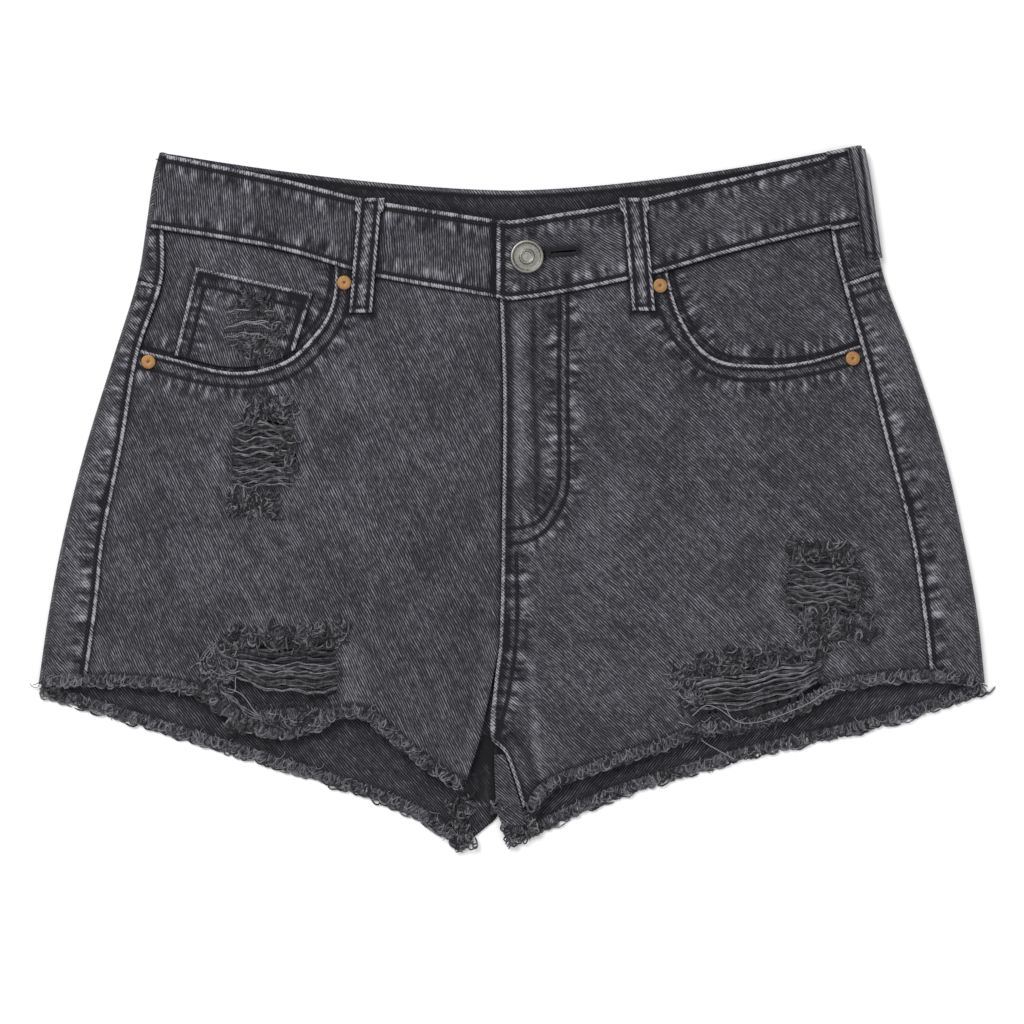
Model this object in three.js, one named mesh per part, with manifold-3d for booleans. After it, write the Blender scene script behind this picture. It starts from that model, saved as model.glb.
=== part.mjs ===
// Five-pocket denim shorts with frayed hems, laid out flat on a table, front up.
// Millimetres. X runs across the shorts, +Y towards the waist, +Z up from the table at z = 0.
// "Left" and "right" are as seen from above. The back cloth lies on the table, turns up round
// a soft fold at each side and meets the front cloth at an outseam on the upper side.
import * as THREE from "three";
import { mergeVertices } from "three/addons/utils/BufferGeometryUtils.js";
import Module from "manifold-3d";

const wasm = await Module();
wasm.setup();

// Driving dimensions
const CLOTH = 1.0; // denim, one layer
const BAND = 2.4; // waistband, folded double over its seam allowance
const LOOP = 1.0; // belt loop strip
const SEAM_GAP = 0.3; // between neighbouring pieces
const LAYER = CLOTH + SEAM_GAP; // from one layer's middle to that of the next
const BAND_LIFT = (BAND - CLOTH) / 2; // waistband's middle above that of the cloth below it
const FOLD_DEPTH = 3.6; // middle of the back cloth to middle of the front, at the side folds
const LOFT = 1.2; // how much further apart the two are at the centre
const LOFT_REACH = 110; // distance from the side over which the loft builds up
const VALLEY = 2.2; // how far the front sinks between the legs
const FLY_RISE = 0.9; // the fly's extra layers
const UNDERLAP_END = 24; // hidden end of the waistband under its overlap
const OVERLAP_END = -8;
const LOOP_WIDTH = 11;
const BUTTON = { x: 8.3, y: 131.7, radius: 9.2, high: 3.4 };
const RIVET = { radius: 3.9, high: 1.3 };
const FRINGE_STRIP = 2.2;
const STRAND = { radius: 0.45, shortest: 5, longest: 8.5 };
const STRANDS = { front: 52, back: 66 };

const DENIM = { color: 0x4b4950, roughness: 0.95, metalness: 0 };
const INSIDE = { color: 0x3f3d44, roughness: 0.95, metalness: 0 };
const FRAY = { color: 0x46444b, roughness: 1, metalness: 0 };
const STEEL = { color: 0xb9b6ad, roughness: 0.35, metalness: 1 };
const COPPER = { color: 0xc98a4b, roughness: 0.4, metalness: 1 };

// Side folds (edge) and outseams (seam) seen from above
const SIDES = [
  { y: 192, leftEdge: -189.5, leftSeam: -186, rightSeam: 170, rightEdge: 189.5 },
  { y: 176, leftEdge: -193.6, leftSeam: -187, rightSeam: 171, rightEdge: 192.5 },
  { y: 148, leftEdge: -197.8, leftSeam: -188, rightSeam: 172.5, rightEdge: 196.6 },
  { y: 120, leftEdge: -202.5, leftSeam: -188.5, rightSeam: 178.5, rightEdge: 202 },
  { y: 80, leftEdge: -214.8, leftSeam: -201.5, rightSeam: 190, rightEdge: 217 },
  { y: 30, leftEdge: -230.2, leftSeam: -210.2, rightSeam: 203, rightEdge: 233 },
  { y: -20, leftEdge: -242.8, leftSeam: -220, rightSeam: 216, rightEdge: 244.6 },
  { y: -60, leftEdge: -250.4, leftSeam: -224.4, rightSeam: 222.3, rightEdge: 252 },
  { y: -100, leftEdge: -256.2, leftSeam: -230.4, rightSeam: 227.2, rightEdge: 256.4 },
];
// Inner edges of the panels: centre seam down to the crotch, then along each leg
const INNER = [
  { y: 112, frontLeft: -6.6, frontRight: -6.3, backLeft: -9.1, backRight: -8.8 },
  { y: 60, frontLeft: -4.8, frontRight: -4.5, backLeft: -9.1, backRight: -8.8 },
  { y: 0, frontLeft: -5.2, frontRight: -4.9, backLeft: -9.1, backRight: -8.8 },
  { y: -75, frontLeft: -6.8, frontRight: -6.5, backLeft: -9.1, backRight: -8.8 },
  { y: -100, frontLeft: -11, frontRight: -9.4, backLeft: -9.1, backRight: -8.8 },
  { y: -128, frontLeft: -17, frontRight: -11, backLeft: -9.1, backRight: -8.8 },
  { y: -135, frontLeft: -19, frontRight: -4.4, backLeft: -9.1, backRight: -8.8 },
  { y: -147, frontLeft: -23, frontRight: 0.6, backLeft: -9.1, backRight: -8.8 },
  { y: -170, frontLeft: -29, frontRight: 7.6, backLeft: -7.6, backRight: -7.2 },
  { y: -177, frontLeft: -30, frontRight: 9, backLeft: -14.5, backRight: -3 },
  { y: -190, frontLeft: -30, frontRight: 11, backLeft: -31, backRight: 8 },
];
// Waistband on the front: its top edge and the seam below it
const FRONT_BAND = [
  { x: -200, top: 190.2, seam: 148.6 }, { x: -156, top: 181, seam: 141.8 },
  { x: -122, top: 173.8, seam: 135.3 }, { x: -86, top: 164.7, seam: 124.8 },
  { x: -70, top: 161.6, seam: 120.6 }, { x: -8, top: 152.2, seam: 109.9 },
  { x: 0, top: 151.6, seam: 108.6 }, { x: 28, top: 155.8, seam: 112.6 },
  { x: 60, top: 161, seam: 119 }, { x: 82, top: 166, seam: 124.2 },
  { x: 118, top: 174.4, seam: 134.5 }, { x: 173, top: 187.6, seam: 147.7 },
  { x: 200, top: 193.5, seam: 153 },
];
// Cut edges of the hems, without their fringe
const HEMS = {
  frontLeft: [
    { x: -262, y: -96 }, { x: -231, y: -94 }, { x: -172, y: -98.5 }, { x: -150, y: -112 },
    { x: -128, y: -122 }, { x: -108, y: -118 }, { x: -94, y: -111 }, { x: -76, y: -112.6 },
    { x: -59, y: -127 }, { x: -42, y: -141 }, { x: -24, y: -151 }, { x: 0, y: -156 },
  ],
  frontRight: [
    { x: -12, y: -170 }, { x: 7, y: -165 }, { x: 15, y: -153.5 }, { x: 30, y: -146 },
    { x: 55, y: -137.2 }, { x: 83, y: -128 }, { x: 102, y: -120 }, { x: 124, y: -118.5 },
    { x: 151, y: -110 }, { x: 178, y: -96.5 }, { x: 226, y: -91.5 }, { x: 262, y: -96 },
  ],
  backLeft: [
    { x: -262, y: -95 }, { x: -248, y: -98 }, { x: -214, y: -106 }, { x: -145, y: -126.5 },
    { x: -76, y: -149.5 }, { x: -50, y: -161.5 }, { x: -28, y: -179 }, { x: 0, y: -201 },
  ],
  backRight: [
    { x: -30, y: -200 }, { x: 4, y: -177.5 }, { x: 30, y: -163.5 }, { x: 55, y: -151.5 },
    { x: 126, y: -128.5 }, { x: 198, y: -112 }, { x: 248, y: -98 }, { x: 262, y: -95 },
  ],
};
// Front pocket mouths, from the waistband round to the outseam
const POCKET_LEFT = [
  [-94.6, 132], [-95.8, 112], [-99.7, 99.7], [-107.5, 88.8], [-118.7, 77.9],
  [-130.7, 72.6], [-144, 70], [-158, 70.8], [-180.6, 76.6], [-198.6, 81.2], [-206, 83],
];
const POCKET_RIGHT = [
  [82, 132], [88.4, 107], [95, 93], [104, 81.2], [115, 75.4],
  [130, 73.9], [146, 73.9], [166, 77.2], [186.5, 83.8], [196, 87],
];
const COIN_POCKET = [
  [-170.5, 126.6], [-107.4, 112.3], [-117, 82], [-130, 75.2], [-144, 72.6],
  [-158, 73.3], [-182, 79],
];
// Large soft folds of the front: where, how long and wide, which way they run, how high
const FOLDS = [
  { x: 13, y: -135, angle: 84, long: 44, wide: 9, high: 1.1 },
  { x: 15, y: 30, angle: 90, long: 60, wide: 8, high: -0.5 },
  { x: -34, y: -75, angle: 78, long: 50, wide: 13, high: 0.8 },
  { x: -170, y: -26, angle: -8, long: 34, wide: 10, high: -0.6 },
  { x: 120, y: 20, angle: -20, long: 70, wide: 20, high: 0.6 },
  { x: -206, y: 2, angle: 70, long: 14, wide: 8, high: 0.7 },
  { x: 202, y: 0, angle: -70, long: 14, wide: 8, high: 0.7 },
  { x: 60, y: -95, angle: 30, long: 50, wide: 18, high: 0.7 },
  { x: -95, y: 30, angle: -60, long: 60, wide: 18, high: 0.6 },
];
// Rips: middle, size, tilt in degrees, and how many gaps the remaining weft threads leave
const RIPS = [
  { panel: "left", x: -134, y: 25.5, wide: 31, tall: 34, tilt: -3, gaps: 6 },
  { panel: "left", x: -124, y: -90, wide: 58, tall: 22, tilt: 2, gaps: 4 },
  { panel: "left", x: -125, y: -106.5, wide: 44, tall: 7.5, tilt: 3, gaps: 1 },
  { panel: "right", x: 169, y: -46, wide: 37, tall: 28, tilt: -4, gaps: 5 },
  { panel: "right", x: 136, y: -96, wide: 72, tall: 11.5, tilt: 8, gaps: 2 },
  { panel: "right", x: 124, y: -107.5, wide: 52, tall: 6.5, tilt: 7, gaps: 1 },
];
const WEFT_BUNDLE = 1.5; // threads left between two gaps of a rip
const BACK_POCKET = [[-165, 88], [-33, 80], [-38, -28], [-99, -52], [-158, -22]];
const RIVETS = [
  { name: "rivet_left_front", x: -90.2, y: 118 },
  { name: "rivet_left_side", x: -196, y: 75.4 },
  { name: "rivet_right_front", x: 80.2, y: 116.4 },
  { name: "rivet_right_side", x: 184.2, y: 77.2 },
];

const clamp01 = (t) => Math.min(1, Math.max(0, t));
const mix = (a, b, t) => a + (b - a) * t;
function smooth(from, to, at) {
  const t = clamp01((at - from) / (to - from));
  return t * t * (3 - 2 * t);
}

// A smooth curve through a table's rows: column value as a function of column by
function lookup(rows, value, by, at) {
  const up = rows[rows.length - 1][by] > rows[0][by] ? 1 : -1;
  const last = rows.length - 1;
  let i = 0;
  while (i < last - 1 && up * at > up * rows[i + 1][by]) i++;
  const slope = (k) => {
    const a = rows[Math.max(0, k - 1)];
    const b = rows[Math.min(last, k + 1)];
    return (b[value] - a[value]) / (b[by] - a[by]);
  };
  const [a, b] = [rows[i], rows[i + 1]];
  const span = b[by] - a[by];
  const t = clamp01((at - a[by]) / span);
  const [t2, t3] = [t * t, t * t * t];
  return (2 * t3 - 3 * t2 + 1) * a[value] + (t3 - 2 * t2 + t) * span * slope(i)
    + (3 * t2 - 2 * t3) * b[value] + (t3 - t2) * span * slope(i + 1);
}

const side = (column) => (y) => lookup(SIDES, column, "y", y);
const inner = (column) => (y) => lookup(INNER, column, "y", y);
const hem = (name) => (x) => lookup(HEMS[name], "y", "x", x);
const frontTop = (x) => lookup(FRONT_BAND, "top", "x", x);
const frontSeam = (x) => lookup(FRONT_BAND, "seam", "x", x);
const backTop = (x) => 168.2 + (x < 0 ? 20 : 24) * (Math.abs(x) / 186) ** 1.6;
const backSeam = (x) => 128.2 + (x < 0 ? 20 : 22.8) * (Math.abs(x) / 196) ** 1.6;
const yokeSeam = (x) => 94 + (x < 0 ? 25.5 : 31) * (Math.abs(x) / 201) ** 1.2;
const moved = (line, by) => (at) => line(at) + by;

const edgeDistance = (x, y) => Math.min(x - side("leftEdge")(y), side("rightEdge")(y) - x);

// Back pockets and loops hold the middle of the back off the table
const restHeight = (x, y) => LAYER * smooth(4, 13, edgeDistance(x, y)) * smooth(-95, -65, y);
const backHeight = (x, y) => CLOTH / 2 + restHeight(x, y);

// Middle of the front cloth
function frontHeight(x, y) {
  let z = CLOTH / 2 + FOLD_DEPTH + restHeight(x, y);
  z += LOFT * smooth(0, LOFT_REACH, edgeDistance(x, y));
  z -= VALLEY * smooth(-40, -130, y) * Math.exp(-(((x + 9) / 22) ** 2));
  for (const fold of FOLDS) {
    const [c, s] = [Math.cos((fold.angle * Math.PI) / 180), Math.sin((fold.angle * Math.PI) / 180)];
    const along = ((x - fold.x) * c + (y - fold.y) * s) / fold.long;
    const across = (-(x - fold.x) * s + (y - fold.y) * c) / fold.wide;
    z += fold.high * Math.exp(-along * along - across * across);
  }
  return z;
}

// How much higher the right panel lies over the fly
const flyRise = (x, y) => FLY_RISE * smooth(33, 26, x) * smooth(-27, -17, y);

// The place at share f from a panel's inner to its outer line and share v from top to hem
function between(panel, f, v) {
  let [low, high] = [-215, 215];
  for (let i = 0; i < 40; i++) {
    const y = (low + high) / 2;
    const x = mix(panel.inner(y), panel.outer(y), f);
    if (mix(panel.top(x), panel.hem(x), v) > y) low = y;
    else high = y;
  }
  const y = (low + high) / 2;
  return [mix(panel.inner(y), panel.outer(y), f), y];
}

// Middle surface of cloth on the upper side, moved up by offset
function upperMiddle(panel, offset) {
  return (f, v) => {
    const [x, y] = between(panel, f, v);
    return new THREE.Vector3(x, y, frontHeight(x, y) + offset(x, y));
  };
}

// Middle surface of cloth that runs out on the table, turns up round the side fold and comes
// back on top as far as the outseam. The share f is split over the three parts.
const WRAP = { underEnd: 0.6, turnEnd: 0.8 };
function wrapMiddle(panel, thickness, lift) {
  const outward = Math.sign(panel.outer(0));
  const radius = FOLD_DEPTH / 2;
  const turnLine = (y) => panel.outer(y) - outward * (radius + thickness / 2);
  return (f, v) => {
    if (f < WRAP.underEnd) {
      const [x, y] = between({ ...panel, outer: turnLine }, f / WRAP.underEnd, v);
      return new THREE.Vector3(x, y, backHeight(x, y) + lift);
    }
    const [, yTurn] = between({ ...panel, inner: turnLine, outer: turnLine }, 0, v);
    const xTurn = turnLine(yTurn);
    if (f <= WRAP.turnEnd) {
      const share = (f - WRAP.underEnd) / (WRAP.turnEnd - WRAP.underEnd);
      const angle = (share - 0.5) * Math.PI;
      const z = CLOTH / 2 + lift + radius + radius * Math.sin(angle);
      return new THREE.Vector3(xTurn + outward * radius * Math.cos(angle), yTurn, z);
    }
    const share = (f - WRAP.turnEnd) / (1 - WRAP.turnEnd);
    const slope = mix(panel.slopeTop, panel.slopeHem, v);
    let [x, y] = [xTurn, yTurn];
    for (let i = 0; i < 8; i++) {
      x = mix(xTurn, panel.seam(y), share);
      y = yTurn + slope * Math.abs(x - xTurn);
    }
    return new THREE.Vector3(x, y, frontHeight(x, y) + lift);
  };
}

// The shares at which a wrapped piece has its columns
function wrapShares(under, turn, over) {
  const shares = [];
  for (let i = 0; i < under; i++) shares.push((WRAP.underEnd * 0.93 * i) / (under - 1));
  shares.push(WRAP.underEnd * 0.955, WRAP.underEnd * 0.98);
  for (let i = 0; i < turn; i++) shares.push(mix(WRAP.underEnd, WRAP.turnEnd, i / turn));
  for (let i = 0; i <= over; i++) shares.push(mix(WRAP.turnEnd, 1, i / over));
  return shares;
}

const evenShares = (count) => Array.from({ length: count }, (_, i) => i / (count - 1));

// A wall of even thickness whose middle is a grid of points
function wall(middle, across, down, thickness) {
  const [columns, rows] = [across.length, down.length];
  const grid = down.map((v) => across.map((f) => middle(f, v)));
  const position = [];
  for (const half of [thickness / 2, -thickness / 2])
    for (let j = 0; j < rows; j++)
      for (let i = 0; i < columns; i++) {
        const row = grid[j];
        const u = row[Math.min(i + 1, columns - 1)].clone().sub(row[Math.max(i - 1, 0)]);
        const w = grid[Math.min(j + 1, rows - 1)][i].clone().sub(grid[Math.max(j - 1, 0)][i]);
        const normal = w.cross(u).normalize();
        position.push(...row[i].clone().addScaledVector(normal, half).toArray());
      }
  const index = [];
  const layer = columns * rows;
  const quad = (a, b, c, d) => index.push(a, b, c, a, c, d);
  for (let j = 0; j < rows - 1; j++)
    for (let i = 0; i < columns - 1; i++) {
      const a = j * columns + i;
      quad(a, a + columns, a + columns + 1, a + 1);
      quad(layer + a, layer + a + 1, layer + a + columns + 1, layer + a + columns);
    }
  for (let i = 0; i < columns - 1; i++) {
    const b = (rows - 1) * columns + i;
    quad(i, i + 1, layer + i + 1, layer + i);
    quad(b + 1, b, layer + b, layer + b + 1);
  }
  for (let j = 0; j < rows - 1; j++) {
    const a = j * columns;
    const b = a + columns - 1;
    quad(a + columns, a, layer + a, layer + a + columns);
    quad(b, b + columns, layer + b + columns, layer + b);
  }
  return facingOut(position, index);
}

// Geometry from points and triangles, turned round where it came out inside out
function facingOut(position, index) {
  const corner = (i) => new THREE.Vector3().fromArray(position, index[i] * 3);
  let volume = 0;
  for (let i = 0; i < index.length; i += 3)
    volume += corner(i).dot(corner(i + 1).cross(corner(i + 2)));
  if (volume < 0)
    for (let i = 0; i < index.length; i += 3)
      [index[i + 1], index[i + 2]] = [index[i + 2], index[i + 1]];
  const geometry = new THREE.BufferGeometry();
  geometry.setAttribute("position", new THREE.Float32BufferAttribute(position, 3));
  geometry.setIndex(index);
  return geometry;
}

function toSolid(geometry) {
  const bare = geometry.clone();
  bare.deleteAttribute("normal");
  bare.deleteAttribute("uv");
  const merged = mergeVertices(bare, 1e-3);
  return new wasm.Manifold(new wasm.Mesh({
    numProp: 3,
    vertProperties: new Float32Array(merged.attributes.position.array),
    triVerts: new Uint32Array(merged.index.array),
  }));
}

// The largest body of a solid as geometry
function toGeometry(solid) {
  const bodies = solid.decompose().sort((a, b) => b.volume() - a.volume());
  const mesh = bodies[0].getMesh();
  const geometry = new THREE.BufferGeometry();
  geometry.setAttribute("position", new THREE.BufferAttribute(mesh.vertProperties, 3));
  geometry.setIndex(new THREE.BufferAttribute(mesh.triVerts, 1));
  return geometry;
}

// A flat outline pulled up from z = low to z = high
function prism(points, low = -5, high = 30) {
  const shape = new THREE.Shape(points.map(([x, y]) => new THREE.Vector2(x, y)));
  const geometry = new THREE.ExtrudeGeometry(shape, { depth: high - low, bevelEnabled: false });
  return toSolid(geometry.translate(0, 0, low));
}

const shorts = new THREE.Group();
function add(name, geometry, finish) {
  const mesh = new THREE.Mesh(geometry, new THREE.MeshStandardMaterial(finish));
  mesh.name = name;
  shorts.add(mesh);
}

// The outline of a pocket's mouth closed round the corner between waistband and outseam
function pocketCorner(mouth, grow) {
  const outward = Math.sign(mouth[0][0]);
  const corner = [outward * 188, 150];
  const grown = mouth.map(([x, y]) => [
    corner[0] + (x - corner[0]) * grow, corner[1] + (y - corner[1]) * grow]);
  const start = grown[0][0];
  const end = grown[grown.length - 1][1];
  return [...grown, [outward * 260, end + 12], [outward * 260, 230], [start, 230]];
}

// Pointed gaps one above another, with a bundle of weft threads left between each two
function ripGaps(rip) {
  const pitch = rip.tall / rip.gaps;
  const high = rip.gaps > 1 ? pitch - WEFT_BUNDLE : pitch;
  const angle = (rip.tilt * Math.PI) / 180;
  const [c, s] = [Math.cos(angle), Math.sin(angle)];
  return Array.from({ length: rip.gaps }, (_, i) => {
    const level = (i + 0.5) * pitch - rip.tall / 2;
    const half = (rip.wide / 2) * (1 - 0.12 * ((i * 7) % 3) / 2);
    const shift = (((i * 5) % 3) - 1) * 1.5;
    const outline = [
      [-half, 0], [-half * 0.82, -high / 2], [half * 0.85, -high / 2], [half, 0],
      [half * 0.8, high / 2], [-half * 0.86, high / 2],
    ];
    return prism(outline.map(([u, v]) => [
      rip.x + shift + u * c - (v + level) * s, rip.y + u * s + (v + level) * c]));
  });
}

// A tapering three-sided thread along a list of points
function strand(points, radius) {
  const position = [];
  const index = [];
  const along = points[points.length - 1].clone().sub(points[0]).normalize();
  const sideways = new THREE.Vector3(0, 0, 1).cross(along).normalize();
  const upward = along.clone().cross(sideways).normalize();
  points.forEach((point, k) => {
    const size = radius * (1 - (0.35 * k) / (points.length - 1));
    for (let corner = 0; corner < 3; corner++) {
      const angle = (corner * 2 * Math.PI) / 3 + Math.PI / 2;
      position.push(...point.clone()
        .addScaledVector(sideways, size * Math.cos(angle))
        .addScaledVector(upward, size * Math.sin(angle)).toArray());
    }
  });
  for (let k = 0; k < points.length - 1; k++)
    for (let corner = 0; corner < 3; corner++) {
      const [a, b] = [k * 3 + corner, k * 3 + ((corner + 1) % 3)];
      index.push(a, b, b + 3, a, b + 3, a + 3);
    }
  const end = (points.length - 1) * 3;
  index.push(0, 2, 1, end, end + 1, end + 2);
  return facingOut(position, index);
}

// A repeatable scatter of numbers from 0 to 1
const scatter = (i, salt) => {
  const value = Math.sin(i * 127.1 + salt * 311.7) * 43758.5453;
  return value - Math.floor(value);
};

// A narrow strip beyond a hem's cut edge with loose threads rooted in it
function fringe(name, middle, shares, count, salt) {
  const parts = [toSolid(wall(middle, shares, [0, 1], CLOTH))];
  for (let i = 0; i < count; i++) {
    const f = mix(0.006, 0.994, (i + 0.5 + 0.3 * (scatter(i, salt) - 0.5)) / count);
    const root = middle(f, 0.45);
    const tangent = middle(Math.min(1, f + 0.003), 0.5).sub(middle(f - 0.003, 0.5)).normalize();
    const out = middle(f, 1).sub(middle(f, 0)).normalize();
    out.addScaledVector(tangent, -tangent.dot(out)).normalize();
    const length = mix(STRAND.shortest, STRAND.longest, scatter(i, salt + 1));
    const bend = mix(-1.2, 1.2, scatter(i, salt + 2));
    const points = [0, 1].map((t) => {
      const point = root.clone().addScaledVector(out, length * t);
      point.addScaledVector(tangent, bend * t * t);
      point.z = Math.max(point.z, STRAND.radius + 0.02);
      return point;
    });
    parts.push(toSolid(strand(points, STRAND.radius)));
  }
  add(name, toGeometry(wasm.Manifold.union(parts)), FRAY);
}

// Front panels, cut for the pocket mouths and rips, and what lies in the pocket mouths
const flat = () => 0;
const FRONTS = [
  { name: "left", inner: inner("frontLeft"), outer: moved(side("leftSeam"), SEAM_GAP),
    hem: hem("frontLeft"), mouth: POCKET_LEFT, salt: 3 },
  { name: "right", inner: inner("frontRight"), outer: moved(side("rightSeam"), -SEAM_GAP),
    hem: hem("frontRight"), mouth: POCKET_RIGHT, salt: 11 },
];
const FRONT_ACROSS = evenShares(24);
const FRONT_DOWN = evenShares(19);
for (const front of FRONTS) {
  const panel = { ...front, top: moved(frontSeam, -SEAM_GAP) };
  const rise = front.name === "right" ? flyRise : flat;
  const sheet = (offset) =>
    toSolid(wall(upperMiddle(panel, (x, y) => offset + rise(x, y)),
      FRONT_ACROSS, FRONT_DOWN, CLOTH));
  const cuts = [prism(pocketCorner(front.mouth, 1))];
  for (const rip of RIPS) if (rip.panel === front.name) cuts.push(...ripGaps(rip));
  add("front_" + front.name, toGeometry(sheet(0).subtract(wasm.Manifold.union(cuts))), DENIM);
  const facing = sheet(-LAYER).intersect(prism(pocketCorner(front.mouth, 1.14)));
  add("pocket_facing_" + front.name, toGeometry(facing), DENIM);
  if (front.name === "left")
    add("coin_pocket", toGeometry(sheet(0).intersect(prism(COIN_POCKET))), DENIM);
  const strip = { ...front, top: moved(front.hem, -SEAM_GAP),
    hem: moved(front.hem, -SEAM_GAP - FRINGE_STRIP) };
  fringe("fringe_front_" + front.name, upperMiddle(strip, flat), FRONT_ACROSS,
    STRANDS.front, front.salt);
}

// Back panels, yokes and the back waistband, which wrap round the side folds
const BACKS = [
  { name: "left", inner: inner("backLeft"), outer: side("leftEdge"), seam: side("leftSeam"),
    bottom: hem("backLeft"), bandSlope: -0.156, topSlope: -0.21, yokeSlope: -0.28,
    hemSlope: 0.08, salt: 21 },
  { name: "right", inner: inner("backRight"), outer: side("rightEdge"), seam: side("rightSeam"),
    bottom: hem("backRight"), bandSlope: -0.2, topSlope: -0.21, yokeSlope: -0.36,
    hemSlope: 0.25, salt: 31 },
];
const BACK_ACROSS = wrapShares(13, 4, 2);
for (const back of BACKS) {
  const body = { ...back, top: moved(yokeSeam, -SEAM_GAP / 2), hem: back.bottom,
    slopeTop: back.yokeSlope, slopeHem: back.hemSlope };
  const yoke = { ...back, top: moved(backSeam, -SEAM_GAP), hem: moved(yokeSeam, SEAM_GAP / 2),
    slopeTop: back.bandSlope, slopeHem: back.yokeSlope };
  add("back_" + back.name,
    wall(wrapMiddle(body, CLOTH, 0), BACK_ACROSS, evenShares(13), CLOTH), DENIM);
  add("yoke_" + back.name,
    wall(wrapMiddle(yoke, CLOTH, 0), wrapShares(9, 4, 2), evenShares(3), CLOTH), DENIM);
  const strip = { ...back, top: moved(back.bottom, -SEAM_GAP),
    hem: moved(back.bottom, -SEAM_GAP - FRINGE_STRIP),
    slopeTop: back.hemSlope, slopeHem: back.hemSlope };
  fringe("fringe_back_" + back.name, wrapMiddle(strip, CLOTH, 0), BACK_ACROSS,
    STRANDS.back, back.salt);
}

// The back waistband is one strip from outseam to outseam
function bandMiddle(f, v) {
  const back = BACKS[f < 0.5 ? 0 : 1];
  const half = { ...back, inner: () => 0, top: backTop, hem: backSeam,
    slopeTop: back.topSlope, slopeHem: back.bandSlope };
  return wrapMiddle(half, BAND, BAND_LIFT)(Math.abs(f - 0.5) * 2, v);
}
const halfShares = wrapShares(8, 6, 2);
const bandShares = [
  ...halfShares.slice(1).reverse().map((f) => 0.5 - f / 2), ...halfShares.map((f) => 0.5 + f / 2)];
add("waistband_back", wall(bandMiddle, bandShares, evenShares(3), BAND), DENIM);

// Front waistband: the right end laps over the left one
const bandLeft = { inner: () => UNDERLAP_END, outer: moved(side("leftSeam"), SEAM_GAP),
  top: frontTop, hem: frontSeam };
const underlap = (x) => BAND_LIFT - (BAND + SEAM_GAP - FLY_RISE) * smooth(-34, -18, x);
add("waistband_front_left",
  wall(upperMiddle(bandLeft, underlap),
    evenShares(24), evenShares(3), BAND), DENIM);
const bandRight = { inner: () => OVERLAP_END, outer: moved(side("rightSeam"), -SEAM_GAP),
  top: frontTop, hem: frontSeam };
const bandRightSolid = toSolid(
  wall(upperMiddle(bandRight, (x, y) => BAND_LIFT + flyRise(x, y)), evenShares(20), evenShares(3), BAND));
const BUTTONHOLE = [[16, 132.6], [17.6, 135.6], [21, 134.9], [34.7, 136], [34.8, 134.6],
  [21, 133.2], [17.6, 131.6]];
add("waistband_front_right", toGeometry(bandRightSolid.subtract(prism(BUTTONHOLE))), DENIM);

// Belt loops: two on the front, one at the right fold, two under the back
function frontLoop(name, top, bottom) {
  const middle = (f, v) => {
    const [x, y] = [mix(top[0], bottom[0], v) + (f - 0.5) * LOOP_WIDTH, mix(top[1], bottom[1], v)];
    const onBand = smooth(frontSeam(x) - 7, frontSeam(x), y);
    const lift = mix(CLOTH / 2, BAND_LIFT + BAND / 2, onBand) + SEAM_GAP + 0.1 + LOOP / 2;
    return new THREE.Vector3(x, y, frontHeight(x, y) + lift);
  };
  add(name, wall(middle, evenShares(3), evenShares(12), LOOP), DENIM);
}
frontLoop("belt_loop_front_left", [-76.1, 163.5], [-81.5, 101.8]);
frontLoop("belt_loop_front_right", [65.8, 163.6], [71.4, 102.9]);

function foldLoopMiddle(f, v) {
  const y = mix(190.5, 131.8, v);
  const band = smooth(140, 147, y);
  const thickness = mix(CLOTH, BAND, band);
  const turn = side("rightEdge")(y) - (FOLD_DEPTH + thickness) / 2;
  const radius = (FOLD_DEPTH + thickness) / 2 + SEAM_GAP + 0.35 + LOOP / 2;
  const start = 0.25;
  const arc = (Math.PI / 2 - start) * radius;
  const run = f * LOOP_WIDTH;
  const z = CLOTH / 2 + FOLD_DEPTH / 2 + mix(0, BAND_LIFT, band);
  if (run < arc) {
    const angle = start + run / radius;
    return new THREE.Vector3(turn + radius * Math.cos(angle), y, z + radius * Math.sin(angle));
  }
  const x = turn - (run - arc);
  return new THREE.Vector3(x, y, frontHeight(x, y) + z - CLOTH / 2 - FOLD_DEPTH + radius);
}
add("belt_loop_side_right", wall(foldLoopMiddle, evenShares(8), evenShares(9), LOOP), DENIM);

function backLoop(name, x) {
  const [top, bottom] = [backTop(x) - 2, backSeam(x) - 11];
  const outline = [[x - LOOP_WIDTH / 2, bottom], [x + LOOP_WIDTH / 2, bottom],
    [x + LOOP_WIDTH / 2, top], [x - LOOP_WIDTH / 2, top]];
  add(name, toGeometry(prism(outline, 0, LOOP)), DENIM);
}
backLoop("belt_loop_side_left", -170);
backLoop("belt_loop_back", 0);

// Back pockets lie flat under the back panels
for (const [name, mirror] of [["left", 1], ["right", -1]]) {
  const outline = BACK_POCKET.map(([x, y]) => [x * mirror, y + (mirror < 0 ? 2 : 0)]);
  add("back_pocket_" + name, toGeometry(prism(outline, 0, CLOTH)), DENIM);
}

// Cloth of the right leg's back between its inner fold and the inseam
function inseamMiddle(f, v) {
  const y = mix(-137, -175, v);
  const x = mix(inner("backRight")(y) + 0.2, inner("frontRight")(y) - 0.9, f);
  return new THREE.Vector3(x, y, mix(CLOTH / 2 + LAYER, frontHeight(x, y), Math.sqrt(f)));
}
add("back_right_inseam", wall(inseamMiddle, [0, 0.15, 0.4, 0.7, 1], evenShares(10), CLOTH), DENIM);

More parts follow.
